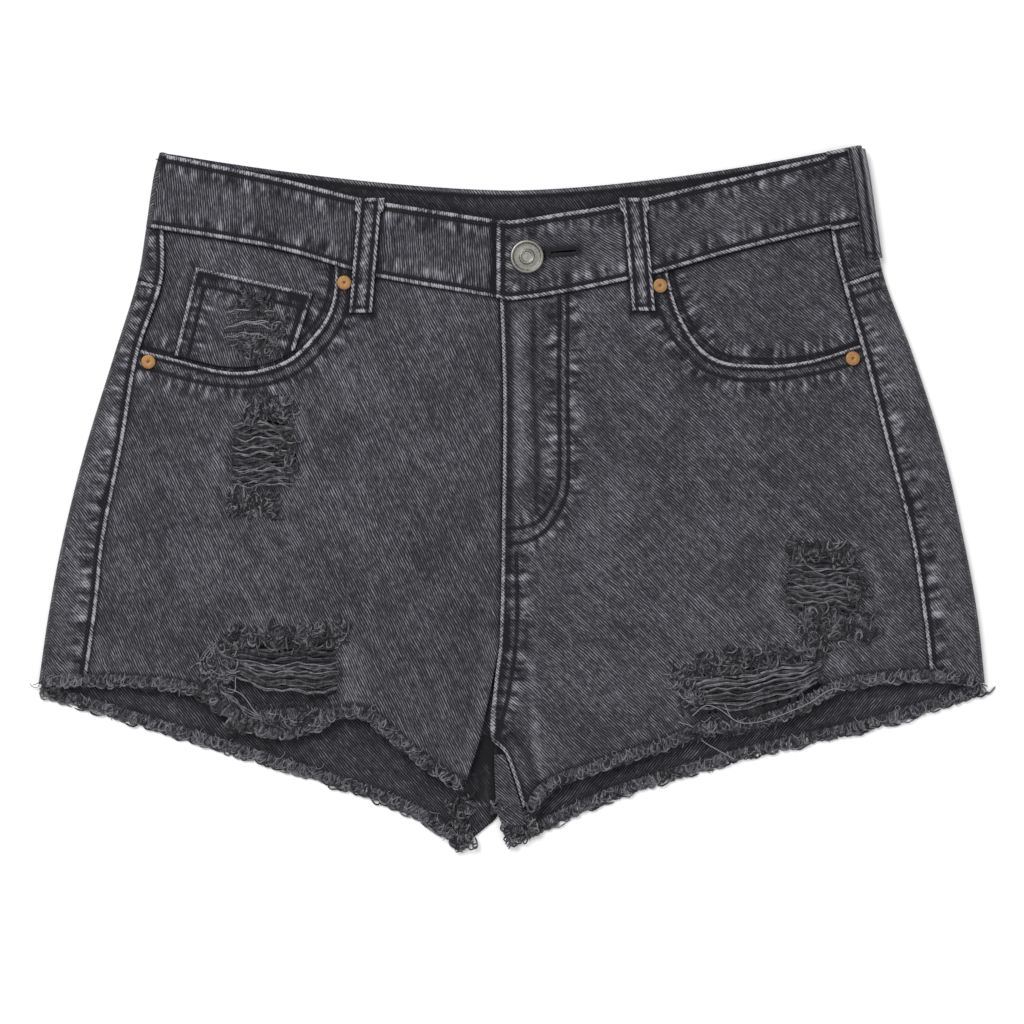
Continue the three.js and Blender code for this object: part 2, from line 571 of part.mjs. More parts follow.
// Button and rivets, turned from their profiles
function turned(name, profile, x, y, z, segments, finish) {
  const geometry = new THREE.LatheGeometry(profile.map(([r, h]) => new THREE.Vector2(r, h)), segments);
  geometry.rotateX(Math.PI / 2).translate(x, y, z);
  add(name, toGeometry(toSolid(geometry)), finish);
}
const R = BUTTON.radius;
turned("button", [
  [0, 0], [R * 0.8, 0], [R, 1.1], [R, 2.2], [R * 0.93, BUTTON.high], [R * 0.84, BUTTON.high - 0.1],
  [R * 0.78, 2.6], [R * 0.46, 2.6], [R * 0.43, BUTTON.high], [R * 0.36, BUTTON.high],
  [R * 0.3, 2.5], [0, 2.5],
], BUTTON.x, BUTTON.y, frontHeight(BUTTON.x, BUTTON.y) + FLY_RISE + BAND_LIFT + BAND / 2 + 0.4,
  24, STEEL);
for (const rivet of RIVETS) {
  const r = RIVET.radius;
  turned(rivet.name, [
    [0, 0], [r, 0], [r, 0.4], [r * 0.75, RIVET.high], [r * 0.3, RIVET.high - 0.1],
    [r * 0.26, RIVET.high - 0.5], [0, RIVET.high - 0.5],
  ], rivet.x, rivet.y, frontHeight(rivet.x, rivet.y) + CLOTH / 2 + 0.4, 12, COPPER);
}

// The box round everything is centred on the origin and stands on z = 0
const box = new THREE.Box3().setFromObject(shorts);
const middle = box.getCenter(new THREE.Vector3());
for (const mesh of shorts.children)
  mesh.geometry.translate(-middle.x, -middle.y, -box.min.z);
export default shorts;
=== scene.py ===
# Denim shorts laid flat on a pale table, front up. Tables are in millimetres of the drawing,
# with X across, Y towards the waist and Z up from the table, as in the part's source.
import math
import bmesh
import bpy
import numpy as np
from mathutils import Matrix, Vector


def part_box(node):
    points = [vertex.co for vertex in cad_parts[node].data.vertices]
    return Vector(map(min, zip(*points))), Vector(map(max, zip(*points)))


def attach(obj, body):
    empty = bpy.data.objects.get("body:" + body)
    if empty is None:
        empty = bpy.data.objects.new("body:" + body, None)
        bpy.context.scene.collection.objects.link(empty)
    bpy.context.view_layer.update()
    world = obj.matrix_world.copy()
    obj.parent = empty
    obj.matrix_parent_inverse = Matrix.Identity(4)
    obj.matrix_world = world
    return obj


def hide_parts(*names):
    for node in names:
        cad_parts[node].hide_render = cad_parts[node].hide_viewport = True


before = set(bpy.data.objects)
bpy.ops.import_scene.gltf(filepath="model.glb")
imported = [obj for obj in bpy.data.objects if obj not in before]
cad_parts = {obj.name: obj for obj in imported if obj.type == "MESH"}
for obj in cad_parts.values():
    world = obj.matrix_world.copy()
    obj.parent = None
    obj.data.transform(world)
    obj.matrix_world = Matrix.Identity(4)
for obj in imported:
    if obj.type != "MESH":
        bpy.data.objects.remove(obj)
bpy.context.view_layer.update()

rng = np.random.default_rng(7)

CLOTH = 1.0  # one layer of denim
BAND = 2.4  # waistband
LOOP = 1.0  # belt loop strip
LAYER = 1.3  # middle of one layer to middle of the next
BAND_LIFT = (BAND - CLOTH) / 2
FOLD_DEPTH = 3.6
LOFT = 1.2
LOFT_REACH = 110
VALLEY = 2.2
FLY_RISE = 0.9
UNDERLAP_END = 24
OVERLAP_END = -8
LOOP_WIDTH = 11
LOOP_SHOWN = 12.2  # with its rolled edges


def path(*points):
    return np.array(points, dtype=float)


# The left back pocket's lowest corner, here and in the frame, gives the shift between the two
POCKET_CORNER = (-165, -52)
pocket_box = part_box("back_pocket_left")
SHIFT_X = POCKET_CORNER[0] - pocket_box[0][0] * 1000
SHIFT_Y = POCKET_CORNER[1] - pocket_box[0][1] * 1000

# Side folds and outseams: height, left fold, left seam, right seam, right fold
SIDES = np.array([
    (192, -189.5, -186, 170, 189.5),
    (176, -193.6, -187, 171, 192.5),
    (148, -197.8, -188, 172.5, 196.6),
    (120, -202.5, -188.5, 178.5, 202),
    (80, -214.8, -201.5, 190, 217),
    (30, -230.2, -210.2, 203, 233),
    (-20, -242.8, -220, 216, 244.6),
    (-60, -250.4, -224.4, 222.3, 252),
    (-100, -256.2, -230.4, 227.2, 256.4),
])
# Inner edges of the panels: height, front left, front right, back left, back right
INNER = np.array([
    (112, -6.6, -6.3, -9.1, -9.06),
    (60, -4.8, -4.5, -9.1, -9.06),
    (0, -5.2, -4.9, -9.1, -9.06),
    (-75, -6.8, -6.5, -9.1, -9.06),
    (-100, -11, -9.4, -9.1, -9.06),
    (-128, -17, -11, -9.1, -9.06),
    (-135, -19, -4.4, -9.1, -9.06),
    (-147, -23, 0.6, -9.1, -9.06),
    (-170, -29, 7.6, -7.6, -7.2),
    (-177, -30, 9, -14.5, -3),
    (-190, -30, 11, -31, 8),
])
# Front waistband: across, top edge, seam below it
FRONT_BAND = np.array([
    (-200, 190.2, 148.6), (-156, 181, 141.8), (-122, 173.8, 135.3), (-86, 164.7, 124.8),
    (-70, 161.6, 120.6), (-8, 152.2, 109.9), (0, 151.6, 108.6), (28, 155.8, 112.6),
    (60, 161, 119), (82, 166, 124.2), (118, 174.4, 134.5), (173, 187.6, 147.7),
    (200, 193.5, 153),
])
# Cut edges of the hems: across, height
HEMS = {
    "front_left": np.array([
        (-262, -96), (-231, -94), (-172, -98.5), (-150, -112), (-128, -122), (-108, -118),
        (-94, -111), (-76, -112.6), (-59, -127), (-42, -141), (-24, -151), (0, -156)]),
    "front_right": np.array([
        (-12, -170), (7, -165), (15, -153.5), (30, -146), (55, -137.2), (83, -128),
        (102, -120), (124, -118.5), (151, -110), (178, -96.5), (226, -91.5), (262, -96)]),
    "back_left": np.array([
        (-262, -97), (-248, -100.5), (-214, -111), (-145, -132.3), (-76, -154.5),
        (-50, -165.5), (-28, -180.5), (0, -201)]),
    "back_right": np.array([
        (-30, -200), (4, -178), (30, -165.5), (55, -154.5), (126, -133.2),
        (198, -116), (248, -100), (262, -96)]),
}
POCKET_LEFT = np.array([
    (-94.6, 132), (-95.8, 112), (-99.7, 99.7), (-107.5, 88.8), (-118.7, 77.9),
    (-130.7, 72.6), (-144, 70), (-158, 70.8), (-180.6, 76.6), (-198.6, 81.2), (-206, 83)])
POCKET_RIGHT = np.array([
    (82, 132), (88.4, 107), (95, 93), (104, 81.2), (115, 75.4),
    (130, 73.9), (146, 73.9), (166, 77.2), (186.5, 83.8), (196, 87)])
# Second stitch lines, about 8 mm outside the pocket mouths
MOUTH_STITCH_LEFT = np.array([
    (-87.6, 122), (-88.3, 109), (-92.1, 95.9), (-102.3, 81.5), (-115.6, 69.7),
    (-127.3, 64.6), (-144.5, 62), (-167.9, 64.4), (-192.8, 70.7), (-203, 73)])
MOUTH_STITCH_RIGHT = np.array([
    (75.5, 119), (79.1, 105.6), (84, 94), (90.2, 84.9), (104, 71.1), (124.6, 65.6),
    (145.3, 66.3), (172.9, 71.1), (186.6, 75.3), (192, 77.5)])
FLY_OUTER = np.array([(30.2, 111), (30.2, 60), (30.2, 8.7), (26.2, -4.6), (18.6, -15.4),
                      (8.9, -21.2), (-2.5, -23)])
FLY_INNER = np.array([(25.9, 111), (25.7, 60), (25.4, 8.9), (21.3, -1.9), (14.9, -10.5),
                      (7.1, -13.8), (-2.5, -14.4)])
CENTRE_STITCH = path((2.7, -27.8), (2.7, -72.6), (-2.1, -106.5), (-5.2, -119), (-6.4, -126))
CENTRE_EDGE = np.array([(-6.3, 112), (-4.5, 60), (-4.9, 0), (-6.5, -75), (-9.4, -100),
                        (-11, -128)])
INSEAM_EDGE = path((-11, -128), (-4.4, -135), (0.6, -147), (7.6, -170))
BACK_POCKET = path((-165, 88), (-33, 80), (-38, -28), (-99, -52), (-158, -22))
# Large soft folds of the front: across, height, direction, length, width, rise
FOLDS = [
    (13, -135, 84, 44, 9, 1.1),
    (15, 30, 90, 60, 8, -0.5),
    (-34, -75, 78, 50, 13, 0.8),
    (-170, -26, -8, 34, 10, -0.6),
    (120, 20, -20, 70, 20, 0.6),
    (-206, 2, 70, 14, 8, 0.7),
    (202, 0, -70, 14, 8, 0.7),
    (60, -95, 30, 50, 18, 0.7),
    (-95, 30, -60, 60, 18, 0.6),
]
# Rips: across, height, width, height of the hole, tilt in degrees
RIPS = {
    "left": [(-134, 25.5, 31, 34, -3), (-124, -93, 58, 33, 2)],
    "right": [(169, -46, 37, 28, -4), (132, -99.5, 70, 19, 8)],
}
RIVETS = {
    "rivet_left_front": (-90.2, 118), "rivet_left_side": (-196, 75.4),
    "rivet_right_front": (80.2, 116.4), "rivet_right_side": (184.2, 77.2),
}
BUTTON = (8.3, 131.7)


def place(points):
    """Drawing millimetres to metres of the frame."""
    moved = np.array(points, dtype=float)
    moved[..., 0] -= SHIFT_X
    moved[..., 1] -= SHIFT_Y
    return moved / 1000


def stroke(x1, y1, x2, y2, wide, amount):
    """A straight mark on the cloth, most of them painted shade and a few painted highlights: its two
    ends, its width and how much paler it is.
    """
    return path((x1, y1), (x2, y2)), wide, amount


def bell(distance, wide):
    return np.exp(-((distance / wide) ** 2))


def turned_in(x, y, across, height, degrees):
    """Places measured along and beside a direction, from a middle."""
    c, s = math.cos(math.radians(degrees)), math.sin(math.radians(degrees))
    return (x - across) * c + (y - height) * s, -(x - across) * s + (y - height) * c


def linked(name, mesh):
    made = bpy.data.objects.new(name, mesh)
    bpy.context.scene.collection.objects.link(made)
    return made


def smooth(start, end, at):
    t = np.clip((at - start) / (end - start), 0, 1)
    return t * t * (3 - 2 * t)


def mix(a, b, t):
    return a + (b - a) * t


def curve_of(rows, column=1):
    """A smooth curve through one column of a table, as a function of the first column."""
    rows = rows if rows[0, 0] < rows[-1, 0] else rows[::-1]
    at = rows[:, 0].astype(float)
    to = rows[:, column].astype(float)
    slope = np.empty_like(to)
    slope[1:-1] = (to[2:] - to[:-2]) / (at[2:] - at[:-2])
    slope[0] = (to[1] - to[0]) / (at[1] - at[0])
    slope[-1] = (to[-1] - to[-2]) / (at[-1] - at[-2])

    def value(x):
        x = np.asarray(x, dtype=float)
        i = np.clip(np.searchsorted(at, x) - 1, 0, len(at) - 2)
        span = at[i + 1] - at[i]
        t = np.clip((x - at[i]) / span, 0, 1)
        t2, t3 = t * t, t * t * t
        return ((2 * t3 - 3 * t2 + 1) * to[i] + (t3 - 2 * t2 + t) * span * slope[i]
                + (3 * t2 - 2 * t3) * to[i + 1] + (t3 - t2) * span * slope[i + 1])
    return value


left_edge, left_seam, right_seam, right_edge = (curve_of(SIDES, k) for k in (1, 2, 3, 4))
inner_front_left, inner_front_right, inner_back_left, inner_back_right = (
    curve_of(INNER, k) for k in (1, 2, 3, 4))
front_top = curve_of(FRONT_BAND, 1)
front_seam = curve_of(FRONT_BAND, 2)
hem = {name: curve_of(rows) for name, rows in HEMS.items()}


def back_top(x):
    return 168.2 + np.where(x < 0, 20, 24) * (np.abs(x) / 186) ** 1.6


def back_seam(x):
    return 128.2 + np.where(x < 0, 20, 22.8) * (np.abs(x) / 196) ** 1.6


def yoke_seam(x):
    return 94 + np.where(x < 0, 25.5, 31) * (np.abs(x) / 201) ** 1.2


def moved(line, by):
    return lambda at: line(at) + by


def level(value):
    return lambda at, *_: at * 0 + value


def edge_distance(x, y):
    return np.minimum(x - left_edge(y), right_edge(y) - x)


def rest_height(x, y):
    return LAYER * smooth(4, 13, edge_distance(x, y)) * smooth(-95, -65, y)


def back_height(x, y):
    return CLOTH / 2 + rest_height(x, y)


def front_height(x, y):
    z = CLOTH / 2 + FOLD_DEPTH + rest_height(x, y)
    z = z + LOFT * smooth(0, LOFT_REACH, edge_distance(x, y))
    z = z - VALLEY * smooth(-40, -130, y) * bell(x + 9, 22)
    for across, height, turn, long, wide, high in FOLDS:
        along, beside = turned_in(x, y, across, height, turn)
        z = z + high * bell(along, long) * bell(beside, wide)
    return z


def fly_rise(x, y):
    return FLY_RISE * smooth(33, 26, x) * smooth(-27, -17, y)


def run_along(line):
    """How far along a line each of its points is."""
    return np.concatenate([[0], np.cumsum(np.linalg.norm(np.diff(line, axis=0), axis=1))])


def fine_line(points, step=2.0):
    """A smooth line through a few points, with even short steps."""
    points = np.asarray(points, dtype=float)
    run = run_along(points)
    count = max(2, int(run[-1] / step) + 1)
    at = np.linspace(0, run[-1], count)
    columns = [curve_of(np.column_stack([run, points[:, k]]))(at) for k in range(points.shape[1])]
    return np.column_stack(columns)


def line_of(function, start, end, step=3.0):
    x = np.linspace(start, end, max(2, int(abs(end - start) / step)))
    return np.column_stack([x, function(x)])


def side_line(function, start, end, step=3.0):
    y = np.linspace(start, end, max(2, int(abs(end - start) / step)))
    return np.column_stack([function(y), y])


def nearest(lines, x, y):
    """Distance to the nearest of some lines, and how far along it that is."""
    best = np.full(x.shape, 1e3)
    run = np.zeros(x.shape)
    start = 0.0
    for line in lines:
        a, b = line[:-1], line[1:]
        along = run_along(line)
        for (ax, ay), (bx, by), span, first in zip(a, b, np.diff(along), start + along[:-1]):
            t = np.clip(((x - ax) * (bx - ax) + (y - ay) * (by - ay)) / (span * span), 0, 1)
            d = np.hypot(x - ax - t * (bx - ax), y - ay - t * (by - ay))
            closer = d < best
            best = np.where(closer, d, best)
            run = np.where(closer, first + t * span, run)
        start += along[-1] + 37.0
    return best, run


def pucker(run, salt=0.0):
    """Uneven waves along a seam, from -1 to 1."""
    return (np.sin(run * 0.86 + salt) + 0.6 * np.sin(run * 1.31 + 1.7 + salt)
            + 0.5 * np.sin(run * 0.53 + 0.4 + 2 * salt)) / 2.1


def ripple(x, y, size, salt=0.0):
    """Soft uneven unrest of cloth that has lain folded."""
    u, v = x / size, y / size
    return (np.sin(u * 1.3 + 1.9 * np.sin(v * 0.7 + salt)) * np.cos(v * 1.1 + salt * 1.3)
            + 0.6 * np.sin(u * 2.3 - v * 1.7 + salt * 2.1)
            + 0.4 * np.cos(u * 3.1 + v * 2.9 + salt * 0.7)) / 2


def colour(red, green, blue):
    """An eight-bit screen colour as the shader's linear values."""
    linear = []
    for value in (red, green, blue):
        c = value / 255
        linear.append(c / 12.92 if c <= 0.04045 else ((c + 0.055) / 1.055) ** 2.4)
    return (*linear, 1.0)


class Shading:
    """A material's nodes, added one by one."""

    def __init__(self, name, roughness, metallic=0.0, sheen=0.0, specular=0.3):
        self.material = bpy.data.materials.new(name)
        self.material.use_nodes = True
        self.tree = self.material.node_tree
        self.shader = self.tree.nodes["Principled BSDF"]
        self.feed(self.shader, {
            "Roughness": roughness, "Metallic": metallic, "Sheen Weight": sheen,
            "Sheen Roughness": 0.5, "Specular IOR Level": specular})

    def feed(self, node, values):
        """Numbers or links for a node's inputs, by name or place."""
        for key, value in values.items():
            if hasattr(value, "links"):
                self.tree.links.new(value, node.inputs[key])
            else:
                node.inputs[key].default_value = value

    def node(self, kind, values=()):
        made = self.tree.nodes.new("ShaderNode" + kind)
        self.feed(made, dict(values))
        return made

    def sum(self, operation, a, b=0.0, clamp=False):
        node = self.node("Math", {0: a, 1: b})
        node.operation = operation
        node.use_clamp = clamp
        return node.outputs[0]

    def total(self, *values):
        result = values[0]
        for value in values[1:]:
            result = self.sum("ADD", result, value)
        return result

    def times(self, a, b, clamp=False):
        return self.sum("MULTIPLY", a, b, clamp=clamp)

    def swing(self, value, amount, middle=0.5, clamp=False):
        """How far a number is from its middle, times an amount."""
        return self.times(self.sum("SUBTRACT", value, middle), amount, clamp)

    def attribute(self, name):
        node = self.node("Attribute")
        node.attribute_name = name
        return node.outputs["Fac"]

    def uv(self):
        node = self.node("UVMap")
        node.uv_map = "weave"
        split = self.node("SeparateXYZ", {0: node.outputs[0]})
        return split.outputs[0], split.outputs[1]

    def place(self):
        return self.node("TexCoord").outputs["Object"]

    def vector(self, x, y):
        return self.node("CombineXYZ", {0: x, 1: y}).outputs[0]

    def noise(self, vector, scale, detail=2.0, roughness=0.5):
        return self.node("TexNoise", {
            "Vector": vector, "Scale": scale, "Detail": detail, "Roughness": roughness,
        }).outputs["Fac"]

    def ramp(self, value, stops):
        """A number read off a line through stops of (value, result)."""
        low, high = stops[0][0], stops[-1][0]
        spread = self.sum("DIVIDE", self.sum("SUBTRACT", value, low), high - low, clamp=True)
        node = self.node("FloatCurve", {"Value": spread})
        curve = node.mapping.curves[0]
        for index, (at, to) in enumerate(stops):
            x = (at - low) / (high - low)
            if index in (0, len(stops) - 1):
                point = curve.points[0 if index == 0 else -1]
                point.location = (x, to)
            else:
                curve.points.new(x, to)
        node.mapping.update()
        return node.outputs[0]

    def mix(self, factor, a, b):
        node = self.node("Mix")
        node.data_type = "RGBA"
        self.feed(node, {"Factor": factor, 6: a, 7: b})  # 6 and 7 are the colours
        return node.outputs[2]

    def base(self, value):
        self.feed(self.shader, {"Base Color": value})

    def bump(self, height, distance, strength=1.0):
        node = self.node("Bump", {"Strength": strength, "Distance": distance, "Height": height})
        self.feed(self.shader, {"Normal": node.outputs[0]})


TWILL_PITCH = 1.24  # between two diagonal lines of the weave
DARK_WARP = colour(20, 19, 23)
MID_WARP = colour(72, 71, 77)
LIGHT_WEFT = colour(156, 155, 161)


def denim(name, own_marks, tone=0.0):
    """Washed grey-black twill: diagonal lines, cloudy wash, pale worn edges, dark stitch lines."""
    s = Shading(name, roughness=0.93, sheen=0.12, specular=0.2)
    u, v = s.uv()
    spot = s.place()
    wander = s.swing(s.noise(s.vector(u, v), 0.09, 3), 2.2)
    diagonal = s.sum("DIVIDE", s.total(u, wander), TWILL_PITCH)
    wave = s.sum("SINE", s.times(diagonal, 2 * math.pi))
    floats = s.noise(s.vector(u, s.times(v, 0.26)), 1.2, 2)
    streak = s.noise(s.vector(s.times(u, 1.1), s.times(v, 0.07)), 0.55, 2)
    wash = s.noise(spot, 28, 4, 0.6)
    blotch = s.noise(spot, 150, 3, 0.6)
    swell = s.times(wave, s.total(s.times(blotch, 0.52), 0.07))
    # Worn ridge at a sewn edge, in rope-like blocks, with a dark furrow behind it
    edge = s.attribute("edge_mm")
    rope_at = s.total(s.attribute("edge_run"), s.times(edge, 1.2))
    rope = s.sum("SINE", s.total(s.times(rope_at, 2.3), s.times(blotch, 9)))
    ridge = s.ramp(edge, [(0, 0.55), (0.9, 1.0), (1.7, 0.55), (2.6, 0.1), (4, 0.0)])
    furrow = s.ramp(edge, [(0, 0), (1.5, 0.0), (2.6, 1.0), (3.5, 0.3), (6, 0.0)])
    worn = s.times(ridge, s.total(s.times(rope, 0.18), 0.5))
    # Stitch lines lie in a dark furrow, with pale and dark puckers beside it
    stitch = s.attribute("stitch_mm")
    groove = s.ramp(stitch, [(0, 1.0), (0.7, 0.8), (1.5, 0.1), (3, 0.0)])
    beside = s.ramp(stitch, [(0, 0.0), (1.2, 0.6), (3.5, 1.0), (7, 0.55), (11, 0.0)])
    blocks = s.noise(s.vector(s.attribute("stitch_run"), s.times(stitch, 0.35)), 0.24, 2)
    # Painted shade and highlights, with some wear, read from the cloth's attributes
    marks = s.total(s.attribute("painted_shading_and_wear"), s.attribute(own_marks))
    thread = s.total(
        swell, 0.285 + tone, s.swing(floats, 0.98), s.swing(streak, 0.6), s.swing(wash, 0.45),
        s.swing(blotch, 0.25), worn, s.times(furrow, -0.5), s.times(groove, -0.62),
        s.times(beside, s.swing(blocks, 2.6)), s.times(marks, 0.3))
    low = s.mix(s.times(thread, 2.0, clamp=True), DARK_WARP, MID_WARP)
    s.base(s.mix(s.swing(thread, 1.6, clamp=True), low, LIGHT_WEFT))
    s.bump(s.total(s.times(wave, 0.5), s.times(floats, 1.2)), 0.00022, 0.8)
    return s.material


def loose_cotton(name, dark, light):
    """Frayed thread: each strand darker or paler than the next."""
    s = Shading(name, roughness=0.95, sheen=0.15, specular=0.15)
    spot = s.place()
    fine = s.noise(spot, 1700, 1)
    uneven = s.total(s.swing(s.noise(spot, 420, 2), 1.1), s.swing(fine, 0.6))
    amount = s.sum("ADD", uneven, s.attribute("tone"), clamp=True)
    s.base(s.mix(s.sum("POWER", amount, 1.9), dark, light))
    s.bump(fine, 0.0001, 0.5)
    return s.material


def metal(name, shade, deep, roughness, scale):
    """Aged metal, speckled and finely scratched, darker in the rings given to each piece."""
    s = Shading(name, roughness=roughness, metallic=1.0, specular=0.5)
    spot = s.place()
    speck = s.swing(s.noise(spot, scale, 4, 0.65), 1.2, middle=0.45)
    s.base(s.mix(s.sum("ADD", speck, s.attribute("hollow"), clamp=True), shade, deep))
    s.bump(s.noise(spot, scale * 2.2, 3), 0.00006, 0.4)
    return s.material


DENIM = denim("washed_denim", "painted_shading_outside")
# A darker copy of the denim for the inside faces: painted shade, as the inside lies in the shadow of
# the front
SHADED_DENIM_INSIDE = denim("denim_inside_painted_shade", "painted_shading_inside", tone=-0.16)
FRAY = loose_cotton("frayed_cotton", colour(22, 21, 25), colour(116, 115, 121))
WEFT = loose_cotton("bare_weft", colour(24, 23, 27), colour(128, 127, 133))
STITCHING = loose_cotton("dark_stitching", colour(24, 22, 28), colour(58, 56, 64))
BUTTON_STEEL = metal("aged_button", colour(150, 149, 144), colour(60, 58, 55), 0.46, 900)
RIVET_COPPER = metal("worn_copper", colour(178, 138, 94), colour(112, 80, 52), 0.68, 1200)


def finish(piece, nodes, material):
    piece.data.materials.append(material)
    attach(piece, "root")
    if nodes:
        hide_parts(*nodes)


def smooth_faces(mesh):
    mesh.polygons.foreach_set("use_smooth", [True] * len(mesh.polygons))


def number_layer(mesh, name, values):
    layer = mesh.attributes.new(name, "FLOAT", "POINT")
    layer.data.foreach_set("value", np.asarray(values, dtype=np.float32))


def snapped(line, x, y, reach):
    """Points within reach of a line are moved onto it."""
    away, run = nearest([line], x, y)
    at = run_along(line)
    return (np.where(away < reach, np.interp(run, at, line[:, k]), was)
            for k, was in enumerate((x, y)))


def inside(outline, x, y):
    """Which points lie inside a closed outline."""
    result = np.zeros(x.shape, dtype=bool)
    for (ax, ay), (bx, by) in zip(outline, np.roll(outline, -1, axis=0)):
        crosses = (ay > y) != (by > y)
        at = ax + (y - ay) / (by - ay + 1e-12) * (bx - ax)
        result ^= crosses & (x < at)
    return result


FAR = 99.0  # millimetres, where no edge or stitch line is near


def marked(lines, x, y):
    """The sum of marks, each a line with its width and strength."""
    return sum((amount * bell(nearest([line], x, y)[0], wide) for line, wide, amount in lines),
               np.zeros(x.shape))


def seam_near(lines, x, y):
    return nearest(lines, x, y) if lines else (np.full(x.shape, FAR), x * 0)


def cloth(name, surface, columns, rows, thickness=CLOTH, edges=(), stitches=(), twill=45.0,
          cut=None, snaps=(), reach=1.0, crests=(), marks=(), top_marks=(),
          under_marks=(), inside_marks=(), shade=None, two_faced=False, seen_below=False):
    """A cloth piece: a grid moved to its surface, cut out, sewn edges raised, then thickened."""
    work = bmesh.new()
    bmesh.ops.create_grid(work, x_segments=columns, y_segments=rows, size=0.5)
    plan = np.array([vertex.co[:2] for vertex in work.verts])
    f, v = plan[:, 0] + 0.5, 0.5 - plan[:, 1]
    x, y, lower_z, height, up, across = surface(f, v)
    for line in snaps:
        x, y = snapped(line, x, y, reach)
    z = np.where(up > 0, height(x, y), lower_z)
    edge_mm, edge_run = seam_near(edges, x, y)
    stitch_mm, stitch_run = seam_near(stitches, x, y)
    rise = 0.34 * bell(edge_mm, 1.7) + 0.16 * bell(edge_mm, 6) * pucker(edge_run, 0.3)
    rise += (0.2 * pucker(stitch_run, 1.1) - 0.05) * bell(stitch_mm, 4.5)
    rise -= 0.22 * bell(stitch_mm, 0.9)
    rise += 0.16 * ripple(x, y, 17, 0.5) + 0.07 * ripple(x, y, 7, 1.9)
    rise += marked(crests, x, y)
    z = z + np.where(up > 0, rise, 0)
    # Painted shade and highlights, with some wear, kept in an attribute for the colour: painted shade
    # along the crest lines on the upper face, the marks for either face and the painted shade round
    # rips
    crest_painted_shade = [(line, wide, -0.6) for line, wide, _ in crests]
    painted_shading_and_wear = marked(marks, x, y)
    painted_shading_and_wear += marked([*crest_painted_shade, *top_marks], x, y) * (up > 0)
    painted_shading_and_wear += marked(under_marks, x, y) * (up < 0)
    if shade:
        painted_shading_and_wear += shade(x, y)
    moved_to = place(np.column_stack([x, y, z]))
    for vertex, co in zip(work.verts, moved_to.tolist()):
        vertex.co = co
    turn = np.radians(twill(x, up) if callable(twill) else twill)
    stray = 0.9 * ripple(x, y, 23, 0.8)
    u = across * np.cos(turn) + y * np.sin(turn) + stray
    w = -across * np.sin(turn) + y * np.cos(turn)
    weave = work.loops.layers.uv.new("weave")
    for face in work.faces:
        for loop in face.loops:
            index = loop.vert.index
            loop[weave].uv = (u[index], w[index])
    mesh = bpy.data.meshes.new(name + "_cloth")
    work.to_mesh(mesh)
    for layer, values, hidden in (
            ("edge_mm", edge_mm, FAR), ("edge_run", edge_run, 0),
            ("stitch_mm", stitch_mm, FAR), ("stitch_run", stitch_run, 0)):
        number_layer(mesh, layer, np.where((up > 0) | seen_below, values, hidden))
    number_layer(mesh, "painted_shading_and_wear", painted_shading_and_wear)
    number_layer(mesh, "painted_shading_outside", x * 0)
    number_layer(mesh, "painted_shading_inside", marked(inside_marks, x, y))
    work.free()
    if cut:
        work = bmesh.new()
        work.from_mesh(mesh)
        middles = np.array([face.calc_center_median()[:2] for face in work.faces]) * 1000
        gone = cut(middles[:, 0] + SHIFT_X, middles[:, 1] + SHIFT_Y)
        faces = [face for face, lost in zip(work.faces, gone) if lost]
        bmesh.ops.delete(work, geom=faces, context="FACES")
        work.to_mesh(mesh)
        work.free()
    smooth_faces(mesh)
    piece = linked(name + "_cloth", mesh)
    wall = piece.modifiers.new("thickness", "SOLIDIFY")
    wall.thickness = thickness / 1000
    wall.offset = 0
    # The left back pieces are laid out from the other side, so their faces point the other way
    inner_first = two_faced and not name.endswith("_left")
    # The inside face of a two-faced piece takes the darker copy of the denim, painted shade
    finish(piece, [name], SHADED_DENIM_INSIDE if inner_first else DENIM)
    if two_faced:
        piece.data.materials.append(DENIM if inner_first else SHADED_DENIM_INSIDE)
        wall.material_offset = 1


def between(inner, outer, top, bottom, f, v):
    """The place at share f from the inner to the outer line and share v from top to bottom."""
    low = np.full(f.shape, -215.0)
    high = np.full(f.shape, 215.0)
    for _ in range(30):
        y = (low + high) / 2
        x = mix(inner(y), outer(y), f)
        above = mix(top(x), bottom(x), v) > y
        low = np.where(above, y, low)
        high = np.where(above, high, y)
    y = (low + high) / 2
    return mix(inner(y), outer(y), f), y


def upper_sheet(inner, outer, top, bottom, offset=0.0, rise=None):
    """Cloth on the upper side."""
    def height(x, y):
        return front_height(x, y) + offset + (rise(x, y) if rise else 0)

    def surface(f, v):
        x, y = between(inner, outer, top, bottom, f, v)
        return x, y, x * 0, height, np.ones(x.shape), x
    return surface


UNDER_END, TURN_END = 0.82, 0.87  # shares of a wrapped piece's columns


